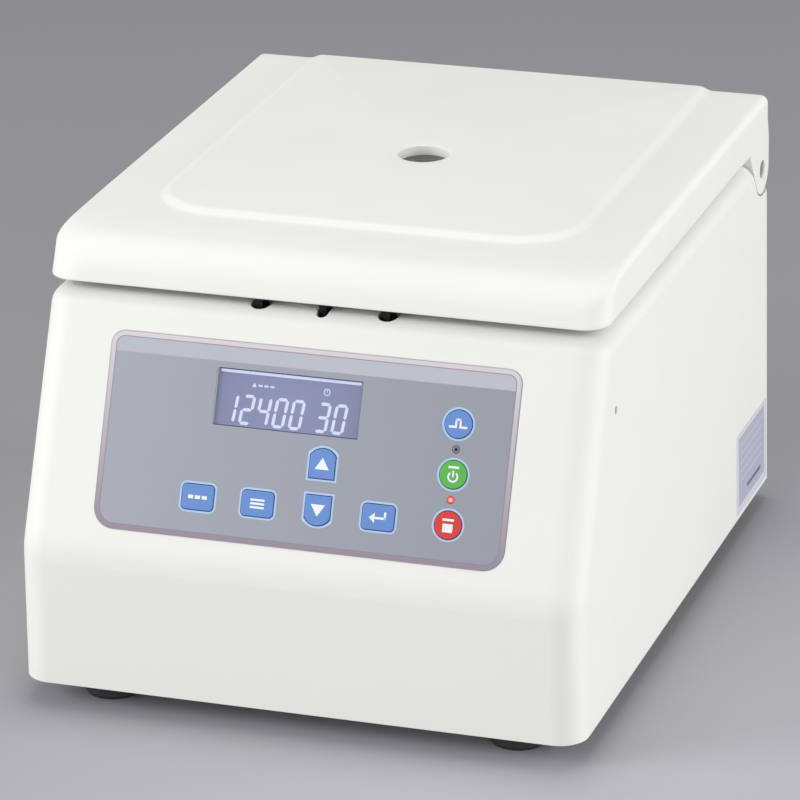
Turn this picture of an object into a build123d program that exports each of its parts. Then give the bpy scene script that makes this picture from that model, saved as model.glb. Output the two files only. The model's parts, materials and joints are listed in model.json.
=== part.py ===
from build123d import *
import math
import os

# Bench-top micro-tube centrifuge, closed, standing on its feet. Millimetres and degrees.
# Origin: centre of the footprint on the bench. +Z up, the control face towards -Y, +X to its right.

# ---- Driving dimensions: whole instrument
WIDTH = 240.0
DEPTH = 299.0
FOOT_HEIGHT = 10.0
DECK_HEIGHT = 167.0
SIDE_DRAFT = 0.573
WALL = 3.0
FIT = 0.3
RUNNING = 0.05

# ---- Cabinet
FRONT_HEIGHT = 69.3
FACE_RUN = 41.07
FRONT_BEND_RADIUS = 28.0
FRONT_CORNER_RADIUS = 12.0
REAR_CORNER_RADIUS = 4.0
DECK_EDGE_RADIUS = 9.0
CASING_BOSS_RADIUS = 5.0
CASING_BOSS_INSET = 14.0
CASING_BOSS_HEIGHT = 18.0
BASE_THICKNESS = 2.0

# ---- Lid
LID_GAP = 4.0
LID_RISE = 18.4
LID_OVERHANG = 0.3
LID_FRONT_LEAN = 18.5
LID_FRONT_RADIUS = 18.0
LID_BROW = 15.8
LID_BROW_DEPTH = 28.7
LID_CORNER_RADIUS = 11.0
LID_SIDE_RADIUS = 5.0
LID_REAR_RADIUS = 2.5
LID_PANEL_RISE = 1.8
LID_PANEL_WIDTH = 180.6
LID_PANEL_FRONT = 43.7
LID_PANEL_RADIUS = 28.0
LID_SCREW_INSET = 10.0
LINER_THICKNESS = 2.0
PORT_RADIUS = 11.0
PORT_RECESS = 5.8
PORT_GLASS = 1.6
PORT_LEDGE = 1.6
PORT_TUBE_RADIUS = 9.0

# ---- Hinge: ears at the lid's rear corners turn in a trough across the cabinet
EAR_RADIUS = 11.0
EAR_WIDTH = 16.0
EAR_SLANT = 33.3
HINGE_GAP = 1.0
HINGE_DROP = 8.6
HINGE_PIN_RADIUS = 3.0
HINGE_PIN_HEAD = 4.0
HINGE_KNUCKLE = 7.0
BRACKET_THICKNESS = 4.0
BRACKET_DROP = 40.0

# ---- Control face, measured across the slope and up it from the bend
OVERLAY_WIDTH = 174.0
OVERLAY_LOW = 11.5
OVERLAY_HIGH = 92.2
OVERLAY_RADIUS = 6.0
OVERLAY_LOW_RADIUS = 9.0
OVERLAY_THICKNESS = 0.6
OVERLAY_RECESS = 0.4
DISPLAY_WIDTH = 61.2
DISPLAY_HEIGHT = 22.6
DISPLAY_X = -9.5
DISPLAY_UP = 69.5
DISPLAY_FRAME = 4.0
BOARD_WIDTH = 150.0
BOARD_LOW = 13.0
BOARD_HIGH = 84.0
BOARD_DEPTH = 9.3
BOARD_THICKNESS = 1.6
KEY_PROUD = 0.5
KEY_TRAVEL = 0.5
KEY_FLANGE = 1.2
KEY_PITCH = 25.5
KEY_ROW_X = -43.0
KEY_ROW_UP = 28.1
KEY_WIDTH = 13.4
KEY_HEIGHT = 10.2
KEY_CORNER = 1.6
ARROW_WIDTH = 10.6
ARROW_HEIGHT = 12.0
ARROW_SHOULDER = 3.0
ARROW_UP = 46.9
ROUND_KEY_RADIUS = 5.6
ROUND_KEY_X = 62.6
ROUND_KEY_PITCH = 20.1
LED_RADIUS = 1.5

# ---- Rotor chamber
CHAMBER_RADIUS = 82.0
CHAMBER_FLOOR = 97.0
CHAMBER_CORNER = 12.0
BOWL_SHEET = 1.2
BOWL_FLANGE_WIDTH = 6.5
BOWL_HOLE = 24.0
GUARD_GAP = 1.8
GUARD_WALL = 4.0
GUARD_CLEARANCE = 1.375
GUARD_LOW = 92.0
GASKET_THICKNESS = 3.0
GASKET_WIDTH = 5.0

# ---- Rotor
ROTOR_PLACES = 12
ROTOR_GAP = 12.0
ROTOR_SEAT = 106.0
TUBE_HOLE_RADIUS = 5.6
TUBE_HOLE_DEPTH = 38.0
TUBE_MOUTH_INSET = 34.0
TUBE_MOUTH_RISE = 36.0
ROTOR_RIM_RISE = 41.7
ROTOR_WALL = 3.0
ROTOR_HUB_RADIUS = 14.0
ROTOR_COVER_THICKNESS = 2.5
KNOB_RADIUS = 17.0
KNOB_HEIGHT = 6.5
KNOB_FLUTES = 10

# ---- Motor
SHAFT_RADIUS = 5.0
SPINDLE_RADIUS = 6.0
THREAD_RADIUS = 4.0
MOTOR_RADIUS = 42.0
MOTOR_WALL = 3.5
MOTOR_TOP = 86.0
MOUNT_HEIGHT = 14.0
MOUNT_RADIUS = 9.0
MOUNT_SPREAD = 50.0
MOUNT_PLATE = 4.0
LOWER_BEARING_RADIUS = 11.0
UPPER_BEARING_RADIUS = 14.0
BEARING_HEIGHT = 8.0
STATOR_BORE = 24.0
STATOR_HEIGHT = 26.0

# ---- Lid lock, under the front of the deck
LOCK_SPREAD = 27.0
LOCK_SETBACK = 7.4
STRIKER_THICKNESS = 3.0
STRIKER_DEPTH = 8.0
STRIKER_DROP = 22.5
SLOT_WIDTH = 8.5
FLAG_SLOT_WIDTH = 5.0
SLIDE_SECTION = 4.0
SLIDE_TRAVEL = 4.6
TRAY_GAP = 3.53
RELEASE_DROP = 33.7
RELEASE_RADIUS = 1.75

# ---- Rear panel
REAR_PANEL_WIDTH = 188.0
REAR_PANEL_LOW = 16.0
REAR_PANEL_HIGH = 124.0
REAR_PANEL_SHEET = 1.5
REAR_PANEL_MARGIN = 8.0
REAR_ROW_HEIGHT = 62.0
INLET_X = -60.0
INLET_WIDTH = 27.0
INLET_HEIGHT = 34.0
INLET_DEPTH = 27.0
SOCKET_WIDTH = 24.2
SOCKET_HEIGHT = 16.6
SOCKET_DEPTH = 17.0
DRAWER_WIDTH = 20.0
DRAWER_HEIGHT = 8.0
DRAWER_DEPTH = 18.0
SWITCH_X = -22.0
SWITCH_WIDTH = 15.0
SWITCH_HEIGHT = 21.0
SWITCH_DEPTH = 18.0
ROCKER_WIDTH = 10.0
ROCKER_HEIGHT = 16.0
ROCKER_TILT = 11.0
AXLE_RADIUS = 1.0
AXLE_DEPTH = 2.2
FAN_X = 45.0
FAN_SIZE = 60.0
FAN_DEPTH = 25.0
FAN_BORE = 28.5
FAN_BLADE_RADIUS = 27.3
FAN_HUB = 13.0
FAN_BLADES = 7

# ---- Feet, label and boards
FOOT_RADIUS = 12.0
FOOT_INSET_X = 32.5
FOOT_INSET_Y = 22.5
LABEL_WIDTH = 51.0
LABEL_HEIGHT = 37.0
LABEL_REAR = 5.0
LABEL_LOW = 11.0
LABEL_THICKNESS = 0.3
DRIVE_BOARD_WIDTH = 44.0
DRIVE_BOARD_LENGTH = 140.0
DRIVE_BOARD_INSET = 30.0
DRIVE_BOARD_LIFT = 8.0
DRIVE_BOARD_Y = 30.0
CAPACITOR_RADIUS = 9.0
CAPACITOR_HEIGHT = 30.0
TRANSFORMER_INSET = 34.0

# ---- Places that follow from the driving dimensions
REAR = DEPTH / 2
FRONT = -DEPTH / 2
BASE_TOP = FOOT_HEIGHT + BASE_THICKNESS
SLOPE_RUN = FACE_RUN / (DECK_HEIGHT - FRONT_HEIGHT)
SLOPE = math.degrees(math.atan(SLOPE_RUN))
DECK_FRONT = FRONT + FACE_RUN
LID_EDGE = DECK_HEIGHT + LID_GAP
LID_TOP = LID_EDGE + LID_RISE
PANEL_TOP = LID_TOP + LID_PANEL_RISE
LID_FRONT = DECK_FRONT - LID_OVERHANG
LID_HALF = WIDTH / 2 - (LID_EDGE - FOOT_HEIGHT) * math.tan(math.radians(SIDE_DRAFT))
LINER_LOW = LID_EDGE + 0.5
HINGE_Y = REAR - EAR_RADIUS
HINGE_HEIGHT = DECK_HEIGHT - HINGE_DROP
EAR_INNER = LID_HALF - EAR_WIDTH
FLANGE_TOP = DECK_HEIGHT + BOWL_SHEET
BOWL_FLANGE = CHAMBER_RADIUS + BOWL_FLANGE_WIDTH
GUARD_RADIUS = CHAMBER_RADIUS + BOWL_SHEET + GUARD_GAP
GUARD_OUTER = GUARD_RADIUS + GUARD_WALL
ROTOR_RADIUS = CHAMBER_RADIUS - ROTOR_GAP
TUBE_MOUTH_RADIUS = ROTOR_RADIUS - TUBE_MOUTH_INSET
RIM_TOP = ROTOR_SEAT + ROTOR_RIM_RISE
COVER_TOP = RIM_TOP + FIT + ROTOR_COVER_THICKNESS
MOUNT_PLATE_LOW = BASE_TOP + MOUNT_HEIGHT
MOTOR_LOW = MOUNT_PLATE_LOW + MOUNT_PLATE
LOCK_Y = DECK_FRONT + LOCK_SETBACK
SLIDE_Y = LOCK_Y + 7.2
SLIDE_LOW = LINER_LOW - 18.5
LOCK_PLATE_LOW = SLIDE_LOW - 8.0
RELEASE_HEIGHT = DECK_HEIGHT - RELEASE_DROP
PANEL_FACE = REAR - WALL
BACK_OF_WALL = WALL + FIT
DRIVE_BOARD_X = -WIDTH / 2 + DRIVE_BOARD_INSET


def slanted(offset, height):
    """Y on the ear's slanted line, moved offset from the hinge axis, at a height."""
    lean = math.radians(EAR_SLANT)
    return HINGE_Y - (offset + (height - HINGE_HEIGHT) * math.sin(lean)) / math.cos(lean)


# The chamber stands as far back as the hinge trough lets its guard ring go.
TROUGH_WALL = slanted(EAR_RADIUS + HINGE_GAP + WALL, DECK_HEIGHT - WALL)
CHAMBER_Y = TROUGH_WALL - GUARD_OUTER - GUARD_CLEARANCE
TRAY_REAR = CHAMBER_Y - GUARD_OUTER - TRAY_GAP

FACE = Plane(
    origin=(0, FRONT, FRONT_HEIGHT),
    x_dir=(1, 0, 0),
    z_dir=(0, -math.cos(math.radians(SLOPE)), math.sin(math.radians(SLOPE))),
)
REAR_FACE = Plane(origin=(0, PANEL_FACE, 0), x_dir=(-1, 0, 0), z_dir=(0, 1, 0))
SPIN = Pos(0, CHAMBER_Y, 0)


# ---- Shape helpers
def rounded_face(corners):
    """A flat face through (u, v, radius) corners, each rounded with its own radius."""
    edges = []
    first = last = None
    for i, (u, v, radius) in enumerate(corners):
        here = Vector(u, v)
        after = corners[(i + 1) % len(corners)]
        back = (Vector(*corners[i - 1][:2]) - here).normalized()
        on = (Vector(*after[:2]) - here).normalized()
        half = math.radians(back.get_angle(on)) / 2
        reach = radius / math.tan(half)
        start = here + back * reach
        if last is None:
            first = start
        elif (start - last).length > 1e-6:
            edges.append(Line(last, start))
        last = here + on * reach
        if radius:
            middle = here + (back + on).normalized() * (radius / math.sin(half) - radius)
            edges.append(ThreePointArc(start, middle, last))
    if (first - last).length > 1e-6:
        edges.append(Line(last, first))
    return make_face(edges)


def slab(where, outline, low, high):
    """The outline, drawn on a plane or place, made solid from low to high along its normal."""
    return extrude(where * Pos(0, 0, low) * outline, high - low)


def across(corners, half):
    """A side outline of (y, z, radius) corners, made solid from -half to +half along X."""
    return extrude(Plane.YZ * rounded_face(corners), half, both=True)


def block(x, y, z):
    """A box between two limits on each axis."""
    size = (x[1] - x[0], y[1] - y[0], z[1] - z[0])
    return Pos((x[0] + x[1]) / 2, (y[0] + y[1]) / 2, (z[0] + z[1]) / 2) * Box(*size)


def post(radius, low, high, bore=0):
    """A round post along Z from low to high, or a tube when it has a bore."""
    outline = Circle(radius) - Circle(bore) if bore else Circle(radius)
    return slab(Plane.XY, outline, low, high)


def turned(points):
    """A turned piece about Z, from (radius, height) points."""
    return revolve(Plane.XZ * make_face(Polyline(*points, close=True)), Axis.Z)


def mirrored(piece):
    """A piece and its mirror image across the instrument's middle plane."""
    return [piece, mirror(piece, Plane.YZ)]


def group(pieces):
    """Several separate solids as one sub-part."""
    return Compound([solid for piece in pieces for solid in piece.solids()])


# ---- Casing
def side_outline(inset):
    """The cabinet seen from its side, with its walls moved in by inset."""
    lean = inset / math.cos(math.radians(SLOPE))
    bend = inset * math.tan(math.radians(SLOPE / 2))
    deck = DECK_HEIGHT - inset
    trough = EAR_RADIUS + HINGE_GAP + inset
    floor = HINGE_HEIGHT - trough
    low = FOOT_HEIGHT - inset
    return [
        (FRONT + inset, low, 0),
        (FRONT + inset, FRONT_HEIGHT + bend, FRONT_BEND_RADIUS - inset),
        (FRONT + lean + (deck - FRONT_HEIGHT) * SLOPE_RUN, deck, 0),
        (slanted(trough, deck), deck, 0),
        (slanted(trough, floor), floor, trough),
        (REAR - inset, floor, 0),
        (REAR - inset, low, 0),
    ]


def cabinet_form(inset):
    """The cabinet's solid form between drafted sides, with its upright edges rounded."""
    low = FOOT_HEIGHT - inset
    draft = math.tan(math.radians(SIDE_DRAFT))
    half_low = WIDTH / 2 - inset + inset * draft
    half_high = WIDTH / 2 - inset - (DECK_HEIGHT - FOOT_HEIGHT) * draft
    front_view = Polyline(
        (-half_low, low),
        (half_low, low),
        (half_high, DECK_HEIGHT),
        (-half_high, DECK_HEIGHT),
        close=True,
    )
    form = across(side_outline(inset), WIDTH)
    form &= extrude(Plane.XZ * make_face(front_view), DEPTH, both=True)
    sides = [edge for edge in form.edges() if abs(edge.center().X) > half_high - 1]
    front = [edge for edge in sides if edge.center().Y < DECK_FRONT - 5 and edge.length > 2 * WALL]
    form = fillet(front, FRONT_CORNER_RADIUS - inset)
    back = [edge for edge in form.edges() if is_rear_corner(edge, inset)]
    return fillet(back, REAR_CORNER_RADIUS - inset / 2)


def is_rear_corner(edge, inset):
    """Whether an edge is one of the two upright rear corners."""
    middle = edge.center()
    upright = edge.length > HINGE_HEIGHT / 2 and abs(middle.X) > WIDTH / 4
    return upright and middle.Y > REAR - inset - 0.1


def soften_deck(inset):
    """The cabinet's form, moved in by inset, with the deck's front and side edges rounded."""
    form = cabinet_form(inset)
    rear = slanted(EAR_RADIUS, DECK_HEIGHT) - 5
    top = [edge for edge in form.edges() if abs(edge.center().Z - DECK_HEIGHT + inset) < 0.01]
    return fillet([edge for edge in top if edge.center().Y < rear], DECK_EDGE_RADIUS - inset)


def casing_boss_places():
    x = WIDTH / 2 - CASING_BOSS_INSET
    ends = (FRONT + 16.5, FRONT + 90.0, REAR - 16.5)
    return [(side * x, y) for side in (-1, 1) for y in ends]


def cabinet():
    """The moulded upper casing: walls, control face and deck in one shell, open underneath."""
    shell = soften_deck(0) - soften_deck(WALL)
    for x, y in casing_boss_places():
        wall = math.copysign(WIDTH / 2 - 1.5, x)
        shell += block(sorted((x, wall)), (y - 1.5, y + 1.5), (BASE_TOP + FIT, BASE_TOP + 15))
        shell += Pos(x, y) * post(CASING_BOSS_RADIUS, BASE_TOP, BASE_TOP + CASING_BOSS_HEIGHT)
        shell -= Pos(x, y) * post(2.0, BASE_TOP, BASE_TOP + 14)
    for pad in mirrored(bracket_pad()):
        shell += pad
    shell -= SPIN * post(CHAMBER_RADIUS + BOWL_SHEET + 0.8, LOCK_PLATE_LOW, DECK_HEIGHT + 1)
    for cut in lock_slots() + mirrored(bracket_slot()):
        shell -= cut
    shell -= slab(FACE, overlay_outline(0), -OVERLAY_RECESS, 5)
    for cut in face_holes():
        shell -= cut
    shell -= Pos(WIDTH / 2, SLIDE_Y, RELEASE_HEIGHT) * Rot(0, 90, 0) * Cylinder(RELEASE_RADIUS, 4 * WALL)
    shell -= label_solid(FIT, LABEL_THICKNESS, 2.0)
    shell -= rear_window()
    for x, z in rear_screw_places():
        shell -= slab(REAR_FACE, Pos(x, z) * Circle(2.9), WALL - 2.4, WALL + 1)
        shell -= slab(REAR_FACE, Pos(x, z) * Circle(1.6), -1, WALL)
    return shell


def rear_window():
    half = REAR_PANEL_WIDTH / 2 - REAR_PANEL_MARGIN
    z = (REAR_PANEL_LOW + REAR_PANEL_MARGIN, REAR_PANEL_HIGH - REAR_PANEL_MARGIN)
    return block((-half, half), (REAR - 2 * WALL, REAR + 1), z)


def base_plate():
    """The steel floor, with slots for cooling air and holes for the screws of feet and casing."""
    inset = WALL + FIT
    corners = [
        (-WIDTH / 2 + inset, FRONT + inset, FRONT_CORNER_RADIUS - WALL),
        (WIDTH / 2 - inset, FRONT + inset, FRONT_CORNER_RADIUS - WALL),
        (WIDTH / 2 - inset, REAR - inset, REAR_CORNER_RADIUS),
        (-WIDTH / 2 + inset, REAR - inset, REAR_CORNER_RADIUS),
    ]
    plate = slab(Plane.XY, rounded_face(corners), FOOT_HEIGHT, BASE_TOP)
    slots = [(x, y) for x in (-40, -20, 0, 20, 40) for y in (FRONT + 55, REAR - 30)]
    for x, y in slots:
        plate -= Pos(x, y, FOOT_HEIGHT + 1) * Box(3.4, 26, 2 * BASE_THICKNESS)
    for x, y in casing_boss_places() + foot_places():
        plate -= Pos(x, y) * post(2.2, FOOT_HEIGHT - 1, BASE_TOP + 1)
    return plate


def casing_screws():
    """The screws of the casing: six through the base plate, four with nuts for the feet, four behind."""
    screw = post(3.6, FOOT_HEIGHT - 2.2, FOOT_HEIGHT) + post(1.9, FOOT_HEIGHT, BASE_TOP + 12)
    screws = [Pos(x, y) * screw for x, y in casing_boss_places()]
    screws += [Pos(x, y) * foot_screw() for x, y in foot_places()]
    for x, z in rear_screw_places():
        head = slab(REAR_FACE, Pos(x, z) * Circle(2.7), WALL - 2.4, WALL - 0.6)
        screws.append(head + slab(REAR_FACE, Pos(x, z) * Circle(1.5), -5, WALL - 2.4))
    return group(screws)


def foot_places():
    x = WIDTH / 2 - FOOT_INSET_X
    y = DEPTH / 2 - FOOT_INSET_Y
    return [(-x, -y), (x, -y), (x, y), (-x, y)]


def rubber_feet():
    """Four round feet, hollowed from below for their screw heads."""
    inner = [(2.1, FOOT_HEIGHT), (2.1, FOOT_HEIGHT / 2), (4.8, FOOT_HEIGHT / 2), (4.8, 0)]
    outer = [(FOOT_RADIUS - 1, 0), (FOOT_RADIUS, 1.5), (FOOT_RADIUS - 1, FOOT_HEIGHT)]
    foot = turned(inner + outer)
    return group([Pos(x, y) * foot for x, y in foot_places()])


def foot_screw():
    """A screw that holds a foot to the base plate, with its nut."""
    head = post(4.2, FOOT_HEIGHT / 2 - 2.6, FOOT_HEIGHT / 2)
    shank = post(1.9, FOOT_HEIGHT / 2, BASE_TOP + 3)
    return head + shank + slab(Plane.XY, RegularPolygon(3.6, 6), BASE_TOP, BASE_TOP + 3)


# ---- Control face
def overlay_outline(less):
    half = OVERLAY_WIDTH / 2 - less
    return rounded_face(
        [
            (-half, OVERLAY_LOW + less, OVERLAY_LOW_RADIUS),
            (half, OVERLAY_LOW + less, OVERLAY_LOW_RADIUS),
            (half, OVERLAY_HIGH - less, OVERLAY_RADIUS),
            (-half, OVERLAY_HIGH - less, OVERLAY_RADIUS),
        ]
    )


def arrow_outline(more, turn):
    """A key outline with a straight foot and an arched head, turned 0 to point up or 180 to point down."""
    half = ARROW_WIDTH / 2 + more
    tall = ARROW_HEIGHT / 2 + more
    shoulder = tall - ARROW_SHOULDER
    edges = [
        Line((-half, shoulder), (-half, -tall)),
        Line((-half, -tall), (half, -tall)),
        Line((half, -tall), (half, shoulder)),
        ThreePointArc((half, shoulder), (0, tall), (-half, shoulder)),
    ]
    return Rot(0, 0, turn) * make_face(edges)


def key_outline(kind, more=0.0):
    if kind == "round":
        return Circle(ROUND_KEY_RADIUS + more)
    if kind == "up":
        return arrow_outline(more, 0)
    if kind == "down":
        return arrow_outline(more, 180)
    return RectangleRounded(KEY_WIDTH + 2 * more, KEY_HEIGHT + 2 * more, KEY_CORNER + more)


KEYS = {
    "set_key": ("flat", KEY_ROW_X, KEY_ROW_UP),
    "mode_key": ("flat", KEY_ROW_X + KEY_PITCH, KEY_ROW_UP),
    "down_key": ("down", KEY_ROW_X + 2 * KEY_PITCH, KEY_ROW_UP),
    "enter_key": ("flat", KEY_ROW_X + 3 * KEY_PITCH, KEY_ROW_UP),
    "up_key": ("up", KEY_ROW_X + 2 * KEY_PITCH, ARROW_UP),
    "stop_key": ("round", ROUND_KEY_X, KEY_ROW_UP),
    "start_key": ("round", ROUND_KEY_X, KEY_ROW_UP + ROUND_KEY_PITCH),
    "pulse_key": ("round", ROUND_KEY_X, KEY_ROW_UP + 2 * ROUND_KEY_PITCH),
}
LEDS = {
    "run_light": (ROUND_KEY_X, KEY_ROW_UP + 0.5 * ROUND_KEY_PITCH),
    "ready_light": (ROUND_KEY_X, KEY_ROW_UP + 1.5 * ROUND_KEY_PITCH),
}


def face_holes():
    """The openings through the control face for the display, the keys and the lights."""
    window = Pos(DISPLAY_X, DISPLAY_UP) * Rectangle(DISPLAY_WIDTH + 2 * FIT, DISPLAY_HEIGHT + 2 * FIT)
    holes = [slab(FACE, window, -2 * WALL, 1)]
    for kind, x, up in KEYS.values():
        holes.append(slab(FACE, Pos(x, up) * key_outline(kind, FIT), -2 * WALL, 1))
    for x, up in LEDS.values():
        holes.append(slab(FACE, Pos(x, up) * Circle(LED_RADIUS + FIT / 2), -2 * WALL, 1))
    return holes


def panel_overlay():
    """The printed film on the control face."""
    film = slab(FACE, overlay_outline(FIT / 2), -OVERLAY_RECESS, OVERLAY_THICKNESS - OVERLAY_RECESS)
    for hole in face_holes():
        film -= hole
    return film


def display_window():
    """The clear pane in front of the display."""
    pane = Pos(DISPLAY_X, DISPLAY_UP) * Rectangle(DISPLAY_WIDTH, DISPLAY_HEIGHT)
    return slab(FACE, pane, -1.0, OVERLAY_THICKNESS - OVERLAY_RECESS)


def display_module():
    """The display glass in the window's opening and its frame behind the wall."""
    glass = Pos(DISPLAY_X, DISPLAY_UP) * Rectangle(DISPLAY_WIDTH, DISPLAY_HEIGHT)
    wide = DISPLAY_WIDTH + 2 * DISPLAY_FRAME
    frame = Pos(DISPLAY_X, DISPLAY_UP) * Rectangle(wide, DISPLAY_HEIGHT + DISPLAY_FRAME)
    return slab(FACE, glass, -BACK_OF_WALL, -1.2) + slab(FACE, frame, -BOARD_DEPTH, -BACK_OF_WALL)


def key(name):
    """A key cap through the face, with a flange behind the wall and a tip towards its switch."""
    kind, x, up = KEYS[name]
    top = OVERLAY_THICKNESS - OVERLAY_RECESS + KEY_PROUD
    cap = slab(Plane.XY, key_outline(kind), -BACK_OF_WALL, top)
    cap = fillet(cap.faces().sort_by(Axis.Z)[-1].edges(), 0.3)
    flange = slab(Plane.XY, key_outline(kind, KEY_FLANGE), -BACK_OF_WALL - 1, -BACK_OF_WALL)
    tip = slab(Plane.XY, Circle(1.5), -BACK_OF_WALL - 1.7, -BACK_OF_WALL - 1)
    return FACE * Pos(x, up) * (cap + flange + tip)


def key_switches():
    """The eight push switches on the control board, one under each key."""
    front = -BACK_OF_WALL - 1.7 - KEY_TRAVEL - FIT
    switches = [slab(FACE, Pos(x, up) * Rectangle(6, 6), -BOARD_DEPTH, front) for _, x, up in KEYS.values()]
    return group(switches)


def light(name):
    """An indicator lamp standing on the control board with its dome in the film."""
    x, up = LEDS[name]
    body = slab(Plane.XY, Circle(LED_RADIUS), -BOARD_DEPTH, OVERLAY_THICKNESS - OVERLAY_RECESS)
    return FACE * Pos(x, up) * fillet(body.faces().sort_by(Axis.Z)[-1].edges(), 0.4)


def board_post_places():
    x = BOARD_WIDTH / 2 - 5
    return [(side * x, up) for side in (-1, 1) for up in (BOARD_LOW + 4.5, BOARD_HIGH - 4.5)]


def control_board():
    """The circuit board behind the control face."""
    middle = (BOARD_LOW + BOARD_HIGH) / 2
    board = Pos(0, middle) * Rectangle(BOARD_WIDTH, BOARD_HIGH - BOARD_LOW)
    return slab(FACE, board, -BOARD_DEPTH - BOARD_THICKNESS, -BOARD_DEPTH)


def board_posts():
    """The spacers that carry the control board on the face wall and the drive board on the base."""
    face_posts = [slab(FACE, Pos(x, up) * Circle(3), -BOARD_DEPTH, -WALL) for x, up in board_post_places()]
    floor_posts = [Pos(x, y) * post(3, BASE_TOP, BASE_TOP + DRIVE_BOARD_LIFT) for x, y in drive_post_places()]
    return group(face_posts + floor_posts)


# ---- Rating label on the right side
def side_plane():
    """A plane on the drafted right side, at its foot: local x towards the rear, local y up."""
    lean = math.radians(SIDE_DRAFT)
    return Plane(
        origin=(WIDTH / 2, 0, FOOT_HEIGHT),
        x_dir=(0, 1, 0),
        z_dir=(math.cos(lean), 0, math.sin(lean)),
    )


def label_solid(more, depth, proud):
    """The label's outline grown by more, from depth below the side's face to proud of it."""
    y = REAR - LABEL_REAR - LABEL_WIDTH / 2
    z = LABEL_LOW - FOOT_HEIGHT + 1 + LABEL_HEIGHT / 2
    outline = Pos(y, z) * RectangleRounded(LABEL_WIDTH + 2 * more, LABEL_HEIGHT + 2 * more, 1.5)
    return slab(side_plane(), outline, -depth, proud)


def rating_label():
    """A blank rating label set flush in the right side."""
    return label_solid(0, LABEL_THICKNESS, 0)


# ---- Lid
def lid_side_outline(inset):
    """The lid seen from its side above its edge, with its walls moved in by inset."""
    lean = math.tan(math.radians(LID_FRONT_LEAN))
    front = LID_FRONT + inset / math.cos(math.radians(LID_FRONT_LEAN))
    brow = LID_EDGE + LID_BROW - inset
    low = LID_EDGE - inset
    return [
        (front - (LID_EDGE - low) * lean, low, 0),
        (front + (brow - LID_EDGE) * lean, brow, LID_FRONT_RADIUS - inset),
        (LID_FRONT + LID_BROW_DEPTH, LID_TOP - 0.4 - inset, 60.0),
        (LID_FRONT + LID_BROW_DEPTH + 40, LID_TOP - inset, 0),
        (REAR - inset, LID_TOP - inset, LID_REAR_RADIUS),
        (REAR - inset, low, 0),
    ]


def lid_form(inset):
    """The lid's solid form above its edge: side outline, rounded sides and rounded plan corners."""
    half = LID_HALF - inset
    low = LID_EDGE - inset
    high = LID_TOP - inset
    ends = [(-half, low, 0), (half, low, 0), (half, high, LID_SIDE_RADIUS - inset / 2)]
    ends.append((-half, high, LID_SIDE_RADIUS - inset / 2))
    radius = LID_CORNER_RADIUS - inset
    front = LID_FRONT + inset
    plan = [(-half, REAR, 0), (-half, front, radius), (half, front, radius), (half, REAR, 0)]
    form = across(lid_side_outline(inset), WIDTH)
    form &= extrude(Plane.XZ * rounded_face(ends), DEPTH, both=True)
    return form & slab(Plane.XY, rounded_face(plan), low - 1, high + 1)


def barrel_outline(radius, rear):
    """The hinge end of the lid from its side: a round foot about the axis and a slanted front."""
    foot = HINGE_HEIGHT - radius
    return [
        (rear, LID_EDGE + 1, 0),
        (rear, foot, radius),
        (slanted(radius, foot), foot, radius),
        (slanted(radius, LID_EDGE + 1), LID_EDGE + 1, 0),
    ]


def lid_screw_places():
    x = LID_HALF - LID_SCREW_INSET
    return [(side * x, y) for side in (-1, 1) for y in (LID_FRONT + 22, CHAMBER_Y, HINGE_Y - 36)]


def lid_cover():
    """The moulded lid shell with its raised panel, its two hinge ears and its screw bosses."""
    panel = [
        (-LID_PANEL_WIDTH / 2, REAR - LID_REAR_RADIUS, 0),
        (-LID_PANEL_WIDTH / 2, LID_FRONT + LID_PANEL_FRONT, LID_PANEL_RADIUS),
        (LID_PANEL_WIDTH / 2, LID_FRONT + LID_PANEL_FRONT, LID_PANEL_RADIUS),
        (LID_PANEL_WIDTH / 2, REAR - LID_REAR_RADIUS, 0),
    ]
    raised = slab(Plane.XY, rounded_face(panel), LID_TOP - WALL, PANEL_TOP)
    raised = fillet(raised.faces().sort_by(Axis.Z)[-1].edges(), 1.2)
    shell = lid_form(0) + raised + across(barrel_outline(EAR_RADIUS, REAR), LID_HALF)
    # Between the ears only the rear skin of the barrel stays; the ears themselves are solid.
    skin = EAR_RADIUS - WALL
    hollow = [
        (LID_FRONT + LID_BROW_DEPTH, LID_TOP - WALL, 0),
        (REAR - WALL, LID_TOP - WALL, 0),
        (REAR - WALL, HINGE_HEIGHT - skin, skin),
        (HINGE_Y + 3, HINGE_HEIGHT - skin, 0),
        (HINGE_Y + 3, HINGE_HEIGHT - EAR_RADIUS - 5, 0),
        (LID_FRONT + LID_BROW_DEPTH, HINGE_HEIGHT - EAR_RADIUS - 5, 0),
    ]
    shell -= across(hollow, EAR_INNER)
    ear_front = slanted(EAR_RADIUS, LID_EDGE) - WALL
    shell -= lid_form(WALL) & block((-WIDTH, WIDTH), (-DEPTH, ear_front), (LID_EDGE - WALL, LID_TOP))
    for notch in mirrored(bracket_notch()):
        shell -= notch
    for x, y in lid_screw_places():
        boss = post(3.6, LINER_LOW + LINER_THICKNESS, LID_TOP - WALL / 2) - post(1.5, LINER_LOW, LID_TOP - 6)
        shell += Pos(x, y) * boss
    shell += SPIN * post(PORT_RADIUS + PORT_LEDGE, PANEL_TOP - PORT_RECESS - PORT_LEDGE, LID_TOP - WALL / 2)
    shell -= SPIN * post(PORT_TUBE_RADIUS + FIT, LID_EDGE, PANEL_TOP + 1)
    shell -= SPIN * post(PORT_RADIUS, PANEL_TOP - PORT_RECESS, PANEL_TOP + 1)
    for ear_hole in mirrored(pin_hole()):
        shell -= ear_hole
    return shell


def hinge_place(x):
    """A place on the hinge axis at x, with its own Z along X."""
    return Pos(x, HINGE_Y, HINGE_HEIGHT) * Rot(0, 90, 0)


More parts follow.
